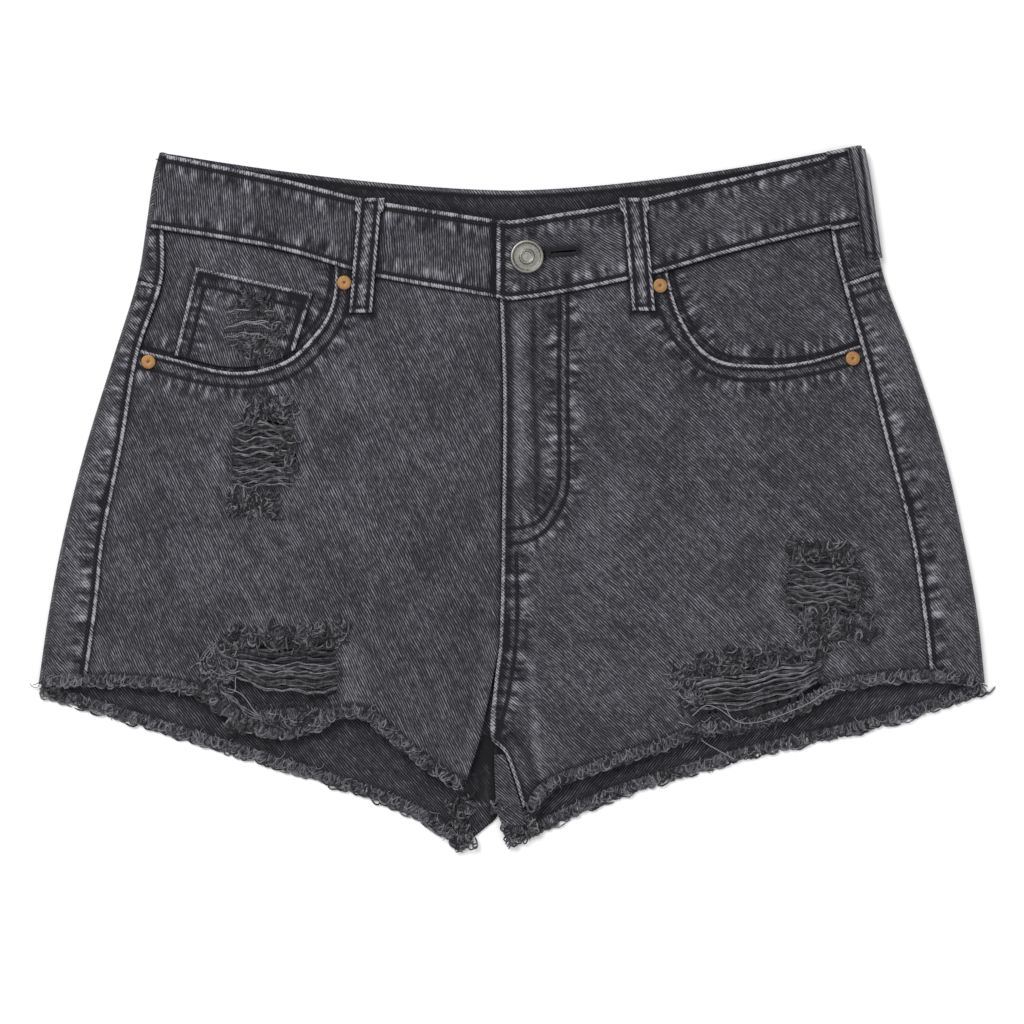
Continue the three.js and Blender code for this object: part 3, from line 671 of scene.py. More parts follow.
def wrapped_sheet(side, top, bottom, slope_top, slope_bottom, thickness, lift, inner=None):
    """Cloth that runs out on the table, turns up round a side fold and comes back on top."""
    outward = -1 if side == "left" else 1
    inner = inner or (inner_back_left if side == "left" else inner_back_right)
    edge = left_edge if side == "left" else right_edge
    seam = left_seam if side == "left" else right_seam
    radius = FOLD_DEPTH / 2

    def turn_line(y):
        return edge(y) - outward * (radius + thickness / 2)

    def height(x, y):
        return front_height(x, y) + lift

    def surface(f, v):
        x, y = between(inner, turn_line, top, bottom, np.minimum(f / UNDER_END, 1), v)
        z = back_height(x, y) + lift
        across = x.copy()
        _, y_turn = between(turn_line, turn_line, top, bottom, f * 0, v)
        x_turn = turn_line(y_turn)
        share = np.clip((f - UNDER_END) / (TURN_END - UNDER_END), 0, 1)
        angle = (share - 0.5) * math.pi
        turning = f > UNDER_END
        x = np.where(turning, x_turn + outward * radius * np.cos(angle), x)
        y = np.where(turning, y_turn, y)
        z = np.where(turning, CLOTH / 2 + lift + radius * (1 + np.sin(angle)), z)
        across = np.where(turning, x_turn + outward * radius * (angle + math.pi / 2), across)
        over = np.clip((f - TURN_END) / (1 - TURN_END), 0, 1)
        x_over, y_over = x_turn, y_turn
        for _ in range(8):
            x_over = mix(x_turn, seam(y_over), over)
            y_over = y_turn + mix(slope_top, slope_bottom, v) * np.abs(x_over - x_turn)
        on_top = f > TURN_END + 1e-6
        x = np.where(on_top, x_over, x)
        y = np.where(on_top, y_over, y)
        middle = turn_line(float(np.mean(y_turn)))
        across = np.where(on_top, 2 * middle - x_over + outward * radius * math.pi, across)
        return x, y, z, height, np.where(on_top, 1.0, -1.0), across
    return surface


# Sewn edges and stitch lines, as lines on the drawing
band_line = line_of(front_seam, -192, 186)
band_top_line = line_of(front_top, -191, 178)
left_seam_line = side_line(left_seam, 190, -100)
right_seam_line = side_line(right_seam, 190, -100)
mouth_left = fine_line(POCKET_LEFT)
mouth_right = fine_line(POCKET_RIGHT)
mouth_rim_left = mouth_left + (1.7, -2.3)
mouth_rim_right = mouth_right + (-1.7, -2.3)
mouth_stitch_left = fine_line(MOUTH_STITCH_LEFT)
mouth_stitch_right = fine_line(MOUTH_STITCH_RIGHT)
fly_outer = fine_line(FLY_OUTER)
fly_inner = fine_line(FLY_INNER)
centre_edge = fine_line(CENTRE_EDGE)
centre_stitch = fine_line(CENTRE_STITCH)
inseam_edge = fine_line(INSEAM_EDGE)
band_stitch = band_line + (0, 3.0)
band_top_stitch = band_top_line - (0, 3.6)
# Outseam, its stitches, the yoke's edge at it and the yoke's stitches
OUTSEAMS = {
    "left": (left_seam_line, left_seam_line - (3.2, 0), path((-203, 119.8), (-188.5, 116.2)),
             path((-203, 110.6), (-189.5, 107))),
    "right": (right_seam_line, right_seam_line + (3.2, 0), path((180, 118), (203.5, 125.4)),
              path((182, 109.5), (205, 117.6))),
}
SIDE_NAMES = ("left", "right")
BAND_SLOPES = {"left": -0.156, "right": -0.2}  # of the waistband's seam beside the folds
fly_crease = fine_line([(12, 105), (11.7, 80), (12.4, 50), (14, 20), (13, -6)])


def mouth_corner(mouth):
    outward = np.sign(mouth[0, 0])
    return np.vstack([mouth, [(outward * 260, mouth[-1, 1] + 12), (outward * 260, 230),
                              (mouth[0, 0], 230)]])


def hole_edge(x, y, side):
    """Below zero inside a rip of one front panel, and about how many millimetres outside it."""
    best = np.full(np.shape(x), 99.0)
    for across, height, wide, tall, tilt in RIPS[side]:
        u, w = turned_in(x, y, across, height, tilt)
        ragged = 1.3 * np.sin(w * 1.9 + across) + 0.9 * np.sin(w * 3.7 + 2) + 0.9 * np.sin(u * 1.7)
        shape = np.maximum(np.abs(u) - wide / 2 + 0.02 * w * w, np.abs(w) - tall / 2 + (
            2 * u / wide) ** 4 * 3)
        best = np.minimum(best, shape + ragged)
    return best


def cut_front(side, mouth):
    corner_outline = mouth_corner(mouth)

    def gone(x, y):
        return inside(corner_outline, x, y) | (hole_edge(x, y, side) < 0)
    return gone


def rip_shade(side):
    """Painted shade close round a rip, under its frayed ends, and the cloth worn paler a little
    further out.
    """
    def shade(x, y):
        away = hole_edge(x, y, side).clip(0)
        return 0.35 * bell(away - 11, 5) - 1.1 * bell(away, 3.5)
    return shade


LOOP_TOPS = {"left": ((-76.1, 163.5), (-81.5, 101.8)), "right": ((65.8, 163.6), (71.4, 102.9))}


def loop_shadow(side):
    top, bottom = (np.array(end) for end in LOOP_TOPS[side])
    half = np.array([LOOP_WIDTH / 2 + 0.8, 0])
    foot = np.array([0, -1.0])
    return [(np.array([top - half, bottom - half + foot]), 1.8, -1.3),
            (np.array([top + half, bottom + half + foot]), 2.2, -1.5),
            (np.array([bottom - half + foot, bottom + half + foot]), 2.0, -1.5)]


panel_top = moved(front_seam, -0.3)
outer_left = moved(left_seam, 0.3)
outer_right = moved(right_seam, -0.3)
cloth("front_left",
      upper_sheet(inner_front_left, outer_left, panel_top, hem["front_left"]),
      150, 158, twill=26, cut=cut_front("left", mouth_left), snaps=[mouth_left],
      edges=[mouth_left], stitches=[mouth_stitch_left, mouth_rim_left],
      shade=rip_shade("left"),
      # Painted shade under the belt loop, along the inner edge that lies under the fly and above the
      # hem's cut edge, and a soft painted highlight beside the lower inner edge; dark lines at the
      # waistband's seam and the outseam, darker round the rivet and in a stroke by the outseam, and a
      # pale line along the pocket mouth
      marks=loop_shadow("left") + [
          (band_line, 1.4, -1.5), (left_seam_line, 1.2, -1.6),
          (side_line(inner_front_left, 108, -70), 1.5, -1.2),
          (side_line(inner_front_left, -75, -145) - (5, 0), 3.5, 0.35),
          (line_of(hem["front_left"], -228, -26) + (0, 0.6), 1.1, -1.5),
          stroke(-88, 118, -93, 120, 4.5, -0.9), (mouth_left, 1.5, 0.9),
          stroke(-205, 62, -208, 48, 4, -0.6)])
cloth("front_right",
      upper_sheet(inner_front_right, outer_right, panel_top, hem["front_right"],
                  rise=fly_rise),
      156, 165, twill=45, cut=cut_front("right", mouth_right),
      snaps=[mouth_right],
      edges=[mouth_right, centre_edge, inseam_edge],
      stitches=[mouth_stitch_right, mouth_rim_right, fly_outer, fly_inner, centre_stitch],
      crests=[(fly_crease, 1.6, -0.5)],
      shade=rip_shade("right"),
      # Painted shade under the belt loop, in the fly's crease, in the crotch folds, above the hem's
      # cut edge and on the strip between the lower rip and the hem; painted highlights on the fly and
      # on a crotch fold; dark lines at the waistband's seam, the outseam and beside the fly's edge,
      # darker round the rivet, and a pale line along the pocket mouth
      marks=loop_shadow("right") + [
          (band_line, 1.4, -1.5), (right_seam_line, 1.2, -1.6),
          (centre_edge + (4.2, 0), 1.2, -1.3),
          (fly_crease, 1.6, -0.7), (fine_line([(4.4, 98), (3.8, 80), (4.4, 40), (5, 12)]), 3.2, 0.7),
          (fine_line([(27.8, 104), (27.6, 60), (27.2, 12), (20, -9)]), 1.4, 0.3),
          (fine_line([(31, 92), (32, 70), (31, 40)]), 2.4, 0.4),
          (fine_line([(10, -86), (12.5, -112), (14, -135), (17, -150)]), 2.2, 0.6),
          (fine_line([(4, -122), (8, -135), (13, -150)]), 2.6, -0.8),
          (fine_line([(-6, -121), (-1, -124), (4, -131)]), 1.4, -1.3),
          (fine_line([(9, -158), (15, -153)]), 4, -0.8),
          (line_of(hem["front_right"], 9, 226) + (0, 0.6), 1.1, -1.5),
          stroke(78, 115, 83, 117, 4.5, -0.9), (mouth_right, 1.5, 0.9),
          stroke(102, -115, 158, -111, 5, -1.0)])


def within(outline):
    return lambda x, y: ~inside(outline, x, y)


def grown(mouth, by):
    outward = np.sign(mouth[0, 0])
    middle = np.array([outward * 188, 150])
    return mouth_corner(middle + (mouth - middle) * by)


COIN_SHADOWS = [stroke(-171, 128, -183, 77, 2.2, -0.7), stroke(-107, 113, -116, 82, 2.2, -0.9)]
for side, inner_end, low_end, twill, mouth, outer, seam_line, shadows in (
        ("left", -78, 56, 24, mouth_left, outer_left, left_seam_line, COIN_SHADOWS),
        ("right", 66, 60, 50, mouth_right, outer_right, right_seam_line, [])):
    cloth("pocket_facing_" + side,
          upper_sheet(level(inner_end), outer, panel_top, level(low_end), -LAYER),
          84, 60, twill=twill, cut=within(grown(mouth, 1.14)),
          stitches=[mouth + (np.sign(inner_end) * 2.5, 3.0)],
          # Painted shade under the pocket mouth's edge and, on the left, beside the coin pocket's
          # sides; dark lines at the waistband's seam and the outseam
          marks=[(mouth, 1.8, -1.6), (band_line, 1.4, -1.5), (seam_line, 1.2, -1.6), *shadows])

coin_corner, coin_inner_corner = (-170.5, 126.6), (-107.4, 112.3)
coin_top = path(coin_corner, coin_inner_corner)
coin_sides = [path(coin_corner, (-182.3, 77.6)), path(coin_inner_corner, (-117, 82))]
coin_hem = path((-172.5, 118.2), (-110.4, 104))
coin_seconds = [path((-165.9, 116.2), (-175, 76.4)), path((-114.5, 103.3), (-121, 80))]


def slanted(start, value, slope):
    return lambda at: value + (at - start) * slope


coin_foot = curve_of(path(
    (-184, 79.5), (-158, 73.3), (-144, 72.6), (-130, 75.2), (-117, 82), (-106, 90)))
cloth("coin_pocket",
      upper_sheet(slanted(82, -117, 0.317), slanted(77.6, -182.3, 0.241),
                  slanted(-170.5, 126.6, -0.2266), coin_foot),
      52, 42, twill=20, edges=[coin_top, *coin_sides],
      stitches=[coin_hem, *coin_seconds],
      # Painted shade under the pocket mouth's edge; darker at the two top corners and in a broad band
      # down the middle
      marks=[stroke(-167.5, 122.5, -159, 120.8, 3.0, -1.9),
             stroke(-119, 110.8, -111.5, 109, 3.0, -1.9),
             stroke(-139, 112, -139, 84, 11, -0.5), (mouth_left, 1.8, -1.6)])

# Painted shade in the folds of the crotch, with a few painted highlights, and the hems' painted
# shadow, on the inside; then painted shade and a painted highlight where a pocket bag ends at each
# outseam
BACK_PAINTED_SHADING = {
    "left": [stroke(-8, -127, -21, -134, 1.5, -2.2),
             stroke(-8, -134, -26, -146, 2.2, -2.2),
             stroke(-9.5, -130, -9.5, -172, 3.0, -1.6),
             stroke(-15, -134, -19, -160, 5.0, -1.3),
             stroke(-23, -165, -10.5, -163, 0.9, 1.8),
             stroke(-13, -142, -14, -160, 1.3, 1.0),
             (line_of(hem["front_left"], -245, -26) - (0, 7), 4.0, -0.35),
             (line_of(hem["back_left"], -254, -20) + (0, 0.8), 1.1, -1.2)],
    "right": [stroke(-8, -127, -3, -136, 1.6, -2.2),
              stroke(-8.5, -130, -8, -170, 2.2, -1.8),
              (line_of(hem["front_right"], 9, 245) - (0, 7), 4.0, -0.35),
              (line_of(hem["back_right"], 0, 254) + (0, 0.8), 1.1, -1.2)],
}

# Painted shade and a painted highlight where a pocket bag ends at each outseam
BAG_END_PAINTED_SHADING = {
    "left": [stroke(-217.5, 7, -221, -2, 2.2, -2.2),
             stroke(-214, 10, -224, 12, 3.0, 0.7)],
    "right": [stroke(212, 7, 216, -3, 2.4, -2.2),
              stroke(209, 12, 222, 14, 3.0, 0.7)],
}
CENTRE_BACK = path((-9.1, 130), (-9.1, -130))


def flat_seam(line, across):
    """A lapped seam seen from below, painted in colour only: dark join, painted highlight on its
    ridge and two dark stitch lines.
    """
    across = np.array(across, dtype=float)
    return [(line, 1.3, -1.7), (line + across * 2.4, 1.5, 0.9), (line + across * 4.6, 1.0, -1.1),
            (line + across * 7.4, 1.6, 0.7), (line + across * 10, 1.0, -1.1)]


def back_twill(x, up):
    """The diagonals of both back panels fall to the right on the strips that show."""
    return np.where((x < 0) & (up < 0), 40, -40)


for side, slopes in (("left", (-0.28, 0.08)), ("right", (-0.36, 0.25))):
    seam_line, stitch, yoke_edge, yoke_second = OUTSEAMS[side]
    centre_marks = flat_seam(CENTRE_BACK, (-1, 0))[:None if side == "left" else 1]
    cloth("back_" + side,
          wrapped_sheet(side, moved(yoke_seam, -0.15), hem["back_" + side], *slopes, CLOTH, 0),
          150, 128, twill=back_twill, edges=[seam_line, yoke_edge],
          stitches=[stitch, yoke_second], two_faced=True,
          # The inside's painted shading, and painted shade and a painted highlight where the pocket
          # bag ends; paler in a broad band along the outseam
          inside_marks=BACK_PAINTED_SHADING[side], marks=[(seam_line, 22, 0.28)], top_marks=BAG_END_PAINTED_SHADING[side],
          under_marks=flat_seam(line_of(yoke_seam, -205, 205), (0, -1)) + centre_marks)
    cloth("yoke_" + side,
          wrapped_sheet(side, moved(back_seam, -0.3), moved(yoke_seam, 0.15),
                        BAND_SLOPES[side], slopes[0], CLOTH, 0),
          120, 22, twill=back_twill, edges=[seam_line], stitches=[stitch],
          two_faced=True, marks=[(seam_line, 22, 0.28), (yoke_edge, 1.2, -1.5)],
          under_marks=[(line_of(yoke_seam, -205, 205), 1.3, -1.7),
                       (line_of(back_seam, -200, 200), 1.3, -1.7), *centre_marks])


band_halves = [
    wrapped_sheet(side, back_top, back_seam, -0.21, BAND_SLOPES[side], BAND, BAND_LIFT, level(0))
    for side in SIDE_NAMES]


def rim(half, share):
    """The line across the upper strip of a wrapped piece at one share of its height."""
    f = np.linspace(TURN_END + 0.001, 1, 8)
    x, y = half(f, np.full(f.shape, share))[:2]
    return np.column_stack([x, y])


def band_back(f, v):
    left, right = (half(np.clip(run, 0, 1), v)
                   for half, run in zip(band_halves, (1 - 2 * f, 2 * f - 1)))
    x, y, z, up, across = (np.where(f < 0.5, a, b) for a, b in zip(left, right) if not callable(a))
    return x, y, z, left[3], up, across


cloth("waistband_back", band_back, 260, 24, BAND,
      twill=lambda x, up: np.where(up < 0, 40, np.where(x < 0, -4, -58)),
      edges=[rim(half, share) for half in band_halves for share in (0, 1)],
      stitches=[rim(half, share) for share in (0.08, 0.93) for half in band_halves],
      # A pale line along the top edge, a dark stitch line below it, and painted shadow along the
      # front band's top edge
      marks=[(line_of(back_top, -190, 190) - (0, 1.0), 0.9, 2.6),
             (line_of(back_top, -190, 190) - (0, 3.4), 1.2, -2.2),
             (band_top_line, 5, -0.9)],
      under_marks=flat_seam(line_of(back_seam, -190, 190), (0, 1))[:3],
      two_faced=True)


def underlap(x, y):
    return -(BAND + 0.3 - FLY_RISE) * smooth(-34, -18, x)


CORNER = 4.0  # rounding of the waistband's end
BUTTONHOLE = np.array([(16, 132.4), (17.6, 135.6), (21, 134.9), (34.7, 136), (34.9, 134.7),
                       (21, 133.2), (17.6, 131.6), (16, 132.4)])


def overlap_end(y):
    beyond = (y - (152.2 - CORNER)).clip(0, CORNER)
    return OVERLAP_END + CORNER - np.sqrt(CORNER ** 2 - beyond ** 2)


def inside_buttonhole(x, y):
    return inside(BUTTONHOLE[:-1], x, y)


cloth("waistband_front_left",
      upper_sheet(level(UNDERLAP_END), left_seam, front_top, front_seam, BAND_LIFT,
                  rise=underlap),
      190, 36, BAND, twill=4, edges=[band_top_line, band_line],
      stitches=[band_stitch, band_top_stitch],
      # Painted shade under the belt loop and beside the end of the overlapping band
      marks=loop_shadow("left") + [stroke(-9.5, 156, -9.5, 106, 1.6, -2.2)])
cloth("waistband_front_right",
      upper_sheet(overlap_end, right_seam, front_top, front_seam, BAND_LIFT,
                  rise=fly_rise),
      170, 36, BAND, twill=58,
      edges=[band_top_line, band_line, path((-8, 148), (-8, 107))],
      stitches=[band_stitch, band_top_stitch, path((-4.4, 147), (-4.4, 110))],
      cut=inside_buttonhole, snaps=[BUTTONHOLE], reach=0.6,
      # Painted shade under the belt loop and along the buttonhole, and a pale line below the
      # buttonhole
      marks=loop_shadow("right") + [stroke(17, 133, 35, 135.6, 2.9, -2.6),
                                    (fine_line([(17, 131), (26, 131.4), (35, 133.2)]), 1.5, 0.8)])


def loop_height(x, y):
    on_band = smooth(front_seam(x) - 7, front_seam(x), y)
    return front_height(x, y) + mix(CLOTH / 2, BAND_LIFT + BAND / 2, on_band) + 0.4 + LOOP / 2


def loop_face(x, y):
    return loop_height(x, y) + LOOP / 2


def front_loop(top, bottom):
    def surface(f, v):
        y = mix(top[1], bottom[1], v)
        wide = LOOP_SHOWN + 3.2 * smooth(top[1] - 8, top[1] - 6.6, y)
        x = mix(top[0], bottom[0], v) + (f - 0.5) * wide
        return x, y, x * 0, loop_height, np.ones(x.shape), x
    return surface


def loop_sides(top, bottom, inset):
    half = LOOP_SHOWN / 2 - inset
    return [path((top[0] + s * half, top[1]), (bottom[0] + s * half, bottom[1]))
            for s in (-1, 1)]


for side in SIDE_NAMES:
    top, bottom = LOOP_TOPS[side]
    foot = path((bottom[0] - 5.5, bottom[1]), (bottom[0] + 5.5, bottom[1]))
    head = path((top[0] - 5.5, top[1]), (top[0] + 5.5, top[1]))
    cloth("belt_loop_front_" + side, front_loop(top, bottom), 22, 90, LOOP, twill=24,
          edges=loop_sides(top, bottom, 0) + [foot, head],
          stitches=loop_sides(top, bottom, 2.5),
          marks=[(line, 0.6, -0.8) for line in loop_sides(top, bottom, 2.5)]
          + [(foot + (0, 3.4), 1.1, -1.6), (head - (0, 5.8), 1.3, -1.2),
             (np.array([top, bottom]), 2.4, 0.9)])


def fold_loop(f, v):
    y = mix(190.5, 131.8, v)
    band = smooth(140, 147, y)
    thick = mix(CLOTH, BAND, band)
    turn = right_edge(y) - (FOLD_DEPTH + thick) / 2
    radius = (FOLD_DEPTH + thick) / 2 + 0.65 + LOOP / 2
    start = 0.25
    arc = (math.pi / 2 - start) * radius
    run = f * LOOP_WIDTH
    z_middle = CLOTH / 2 + FOLD_DEPTH / 2 + BAND_LIFT * band
    angle = start + np.minimum(run, arc) / radius
    x = turn + radius * np.cos(angle) - np.maximum(run - arc, 0)
    z = z_middle + radius * np.sin(angle)
    flat_part = run > arc
    z = np.where(flat_part, front_height(x, y) + z_middle - CLOTH / 2 - FOLD_DEPTH + radius, z)
    return x, y, z, level(0), -np.ones(x.shape), -run


cloth("belt_loop_side_right", fold_loop, 22, 80, LOOP, twill=24,
      marks=[(side_line(right_edge, 190, 132) - (inset, 0), wide, amount)
             for inset, wide, amount in (
                 (5.5, 6, 0.6), (10, 1.1, 1.8), (7.6, 0.8, -2.4), (2.6, 0.8, -2.4),
                 (0.6, 0.9, 1.4))] + [stroke(184, 134, 200, 134, 1.1, -1.5)])


def flat_sheet(inner, outer, top, bottom, height):
    def surface(f, v):
        x, y = between(inner, outer, top, bottom, f, v)
        return x, y, x * 0 + height, level(height), -np.ones(x.shape), x
    return surface


for name, across in (("belt_loop_side_left", -170), ("belt_loop_back", 0)):
    high, low = float(back_top(across)) - 2, float(back_seam(across)) - 11
    cloth(name, flat_sheet(level(across - LOOP_WIDTH / 2), level(across + LOOP_WIDTH / 2),
                           level(high), level(low), LOOP / 2),
          22, 60, LOOP, twill=85, seen_below=True,
          edges=[path((across + end, high), (across + end, low)) for end in (-5.5, 5.5)],
          stitches=[path((across + end, high), (across + end, low)) for end in (-2.6, 2.6)],
          marks=[(path((across - 6, at), (across + 6, at)), 1.1, -1.4)
                 for at in (high - 4, low + 4)])


def drawn_in(line, by):
    """An outline moved inwards by about the same distance all round."""
    middle = line[:-1].mean(axis=0)
    away = line - middle
    return middle + away * (1 - by / np.linalg.norm(away, axis=1).mean())


for name, mirror, raised in (("back_pocket_left", 1, 0), ("back_pocket_right", -1, 2)):
    outline = BACK_POCKET * np.array([mirror, 1]) + (0, raised)
    around = np.vstack([outline, outline[:1]])
    pocket_hem = np.array([mix(outline[0], outline[4], 0.13), mix(outline[1], outline[2], 0.11)])
    inner_side = curve_of(outline[[2, 1]][:, ::-1])
    outer_side = curve_of(outline[[4, 0]][:, ::-1])
    top_side = curve_of(outline[:2][::mirror])
    under = outline[[4, 3, 2]][::mirror]

    def point_down(x, corners=under):
        return np.interp(x, corners[:, 0], corners[:, 1])

    cloth(name, flat_sheet(inner_side, outer_side, top_side, point_down, CLOTH / 2),
          70, 70, twill=40 * mirror, seen_below=True, edges=[around],
          stitches=[drawn_in(around, 2.6), drawn_in(around, 8.5), pocket_hem])


def inseam_sheet(f, v):
    y = mix(-137.0, -175.0, v)
    x = mix(inner_back_right(y) + 0.2, inner_front_right(y) - 0.9, f)
    z = mix(CLOTH / 2 + LAYER, front_height(x, y), np.sqrt(f))
    return x, y, z, level(0), -np.ones(x.shape), x


cloth("back_right_inseam", inseam_sheet, 16, 40, twill=50)


class Threads:
    """Many thin threads made together, each with its own tone from dark to pale."""

    def __init__(self):
        self.rows = []

    def add(self, points, radii, tone):
        self.rows.append((points, radii, tone))

    def piece(self, name, material, nodes=(), slot="frayed_thread"):
        curve = bpy.data.curves.new(name, "CURVE")
        curve.dimensions = "3D"
        curve.bevel_depth = 0.001
        curve.bevel_resolution = 0
        tones = []
        for points, radii, tone in self.rows:
            spline = curve.splines.new("POLY")
            spline.points.add(len(points) - 1)
            spots = np.column_stack([place(points), np.ones(len(points))])
            spline.points.foreach_set("co", spots.ravel())
            spline.points.foreach_set("radius", np.broadcast_to(radii, len(points)).astype(float))
            tones.append(np.full(len(points) * 4, tone))
        holder = linked(name + "_lines", curve)
        mesh = bpy.data.meshes.new_from_object(holder)
        bpy.data.objects.remove(holder)
        bpy.data.curves.remove(curve)
        mesh.name = name
        number_layer(mesh, "tone", np.concatenate(tones))
        smooth_faces(mesh)
        mesh.materials.clear()
        finish(linked(name + "_threads", mesh), nodes, material)


ABOVE_FLOOR = 0.45  # middle of the lowest threads


def tapered(count, radius, tip, both=False):
    """Radii of an even thread with a thin end, or two."""
    radii = np.full(count, radius)
    radii[-1] = tip
    if both:
        radii[0] = tip
    return radii


def curled(start, heading, length, bend, steps, above, hop, looped=False):
    """A thread that starts on a surface, curls or turns back as it runs and rises off it a little."""
    t = np.linspace(0, 1, steps + 1)
    if looped:
        angle = heading + bend / (1 + np.exp(-13 * (t - 0.45)))
    else:
        angle = heading + bend * t + 0.5 * math.sin(bend * 3 + length) * np.sin(t * 5)
    x, y = (first + np.concatenate([[0], np.cumsum(way(angle[:-1]) * length / steps)])
            for first, way in zip(start, (np.cos, np.sin)))
    z = above(x, y) + hop * np.sin(t * math.pi * 0.8) + 0.1
    return np.column_stack([x, y, z])


def upper_face(x, y):
    return front_height(x, y) + CLOTH / 2


def lower_face(x, y):
    return back_height(x, y)


def even_spots(line, spacing):
    """Places and directions at even steps along a line."""
    run = run_along(line)
    at = np.arange(0, run[-1], spacing)
    x, y = np.interp(at, run, line[:, 0]), np.interp(at, run, line[:, 1])
    ahead = np.interp(at + 0.5, run, line[:, 0]), np.interp(at + 0.5, run, line[:, 1])
    return np.column_stack([x, y]), np.arctan2(ahead[1] - y, ahead[0] - x)


def fringe_of(name, line, floor_side):
    """Frayed cut edge: a dense row of short ends, loops over them and a few loose pale threads."""
    threads = Threads()
    above, reach, curl = (lower_face, 6.9, 0.9) if floor_side else (upper_face, 6.3, 1.0)
    down = -math.pi / 2 if line[-1, 0] > line[0, 0] else math.pi / 2
    for (x, y), turn in zip(*even_spots(line, 0.34)):
        wave = 1 + 0.22 * math.sin(x * 0.9) + 0.16 * math.sin(x * 2.3 + 1)
        length = reach * wave * rng.uniform(0.6, 0.85)
        lean = 0.4 * math.sin(x * 0.55) + rng.normal(0, 0.3)
        start = (x + rng.normal(0, 0.3), y + rng.uniform(-0.2, 0.9))
        points = curled(start, turn + down + lean, length, rng.normal(0, 0.9), 4, above,
                        rng.uniform(-0.2, 0.5))
        threads.add(points, np.array([0.36, 0.4, 0.38, 0.34, 0.16]) * rng.uniform(0.8, 1.15),
                    rng.uniform(0.15, 0.65))
    for (x, y), turn in zip(*even_spots(line, 0.7)):
        length = reach * rng.uniform(1.45, 2.1)
        bend = rng.choice([-1, 1], p=[0.25, 0.75]) * rng.uniform(2.3, 3.9) * curl
        start = (x + rng.normal(0, 0.8), y + rng.uniform(-0.9, 0.9))
        points = curled(start, turn + down + rng.normal(0, 0.3) - 0.15 * bend, length, bend, 8,
                        above, rng.uniform(0.3, 1.1), looped=True)
        radii = tapered(9, 0.48 * rng.uniform(0.75, 1.1), 0.12)
        threads.add(points, radii, rng.uniform(0.05, 0.95))
    for (x, y), turn in zip(*even_spots(line, 5.5)):
        length = reach * rng.uniform(0.9, 1.5)
        bend = rng.normal(0, 2.4)
        start = (x + rng.normal(0, 1.5), y + rng.uniform(-0.5, 2.0))
        points = curled(start, turn + down + rng.normal(0, 0.4), length, bend, 8, above,
                        rng.uniform(0.5, 1.4))
        threads.add(points, np.full(9, 0.2), rng.uniform(0.8, 1.2))
    if floor_side:
        for points, _, _ in threads.rows:
            points[:, 2] = np.maximum(points[:, 2], ABOVE_FLOOR)
    threads.piece(name, FRAY, [name])


for name, start, end in (("front_left", -252, -26), ("front_right", 9, 251),
                         ("back_left", -254, -25), ("back_right", 3, 253)):
    fringe_of("fringe_" + name, line_of(hem[name], start, end, 1.5), name.startswith("back"))


def turned_back(across, height, tilt):
    """From a rip's own axes to the drawing."""
    c, s = math.cos(math.radians(tilt)), math.sin(math.radians(tilt))
    return lambda u, w: (across + u * c - w * s, height + u * s + w * c)


def wefts(threads, rip, low, high, pitch, wild, pale, slack=0.0, bundle=1, fan=0.0):
    """Bare weft threads across a rip, between two heights of its own axes, in loose bundles; pale
    sets their palest tone, kept low in a rip's first layer as painted shade under the bundles laid
    over it.
    """
    across, height, wide, tall, tilt = rip
    to = turned_back(across, height, tilt)
    u = np.linspace(-wide / 2 - 1.8, wide / 2 + 1.8, 15)
    w0 = low
    phase = 0.0
    while w0 < high:
        if rng.random() < 0.35:
            phase += rng.normal(0, 0.8)
        sway = wild * (0.6 * np.sin(u * 0.22 + phase) + 0.4 * np.sin(u * 0.55 + phase * 2.3 + w0))
        sag = -slack * (1 - (2 * u / wide) ** 2).clip(0) * (high - w0) / (high - low + 0.1)
        narrow = 1 - np.abs(fan) * (0.5 - np.sign(fan) * u / wide)
        for strand_at in np.arange(bundle) - (bundle - 1) / 2:
            stray = strand_at * 0.62 + 0.25 * np.sin(u * rng.uniform(0.2, 0.5) + rng.uniform(0, 6))
            x, y = to(u, high + (w0 - high) * narrow + sway + sag + stray)
            lift = rng.uniform(-0.35, 0.45) + (0.3 if bundle > 1 else -0.3)
            z = front_height(x, y) + lift * (1 - (2 * u / wide) ** 4).clip(0)
            z = np.where(np.abs(u) > wide / 2 - 0.4, upper_face(x, y) + 0.02, z)
            beside = hole_edge(x, y, "left" if across < 0 else "right") > -0.6
            z = np.where(beside & (np.abs(u) < wide / 2 - 0.4), upper_face(x, y) + 0.35, z)
            radii = tapered(15, 0.4 * rng.uniform(0.75, 1.1), 0.15, both=True)
            threads.add(np.column_stack([x, y, z]), radii, pale * rng.uniform(0.3, 1.0))
        w0 += pitch * rng.uniform(0.6, 1.4)


def tuft(threads, middle, size, tilt, heading, count, bend=(0.8, 3.6), length=(6, 12),
         tone=(-0.1, 0.8), above=upper_face):
    """A patch of warp ends that curl over each other."""
    to = turned_back(middle[0], middle[1], tilt)
    for _ in range(count):
        u = rng.uniform(-0.5, 0.5) * size[0]
        w = rng.uniform(-0.5, 0.5) * size[1]
        start = to(u, w)
        lock = math.sin(u * 0.55 + 0.8 * math.sin(w * 0.4 + middle[0]))
        turn = (lock + rng.normal(0, 0.35)) * rng.uniform(*bend)
        lean = 0.8 * math.sin(u * 0.31 + w * 0.2 + middle[1]) + rng.normal(0, 0.28)
        folded = rng.random() < 0.5
        if folded:
            turn = math.copysign(rng.uniform(2.2, 3.6), turn)
        points = curled(start, heading + lean, rng.uniform(*length) * (1.25 if folded else 1), turn,
                        8, above, rng.uniform(0.2, 1.5), looped=folded)
        radii = tapered(9, 0.47 * rng.uniform(0.7, 1.1), 0.14)
        threads.add(points, radii, rng.uniform(*tone))


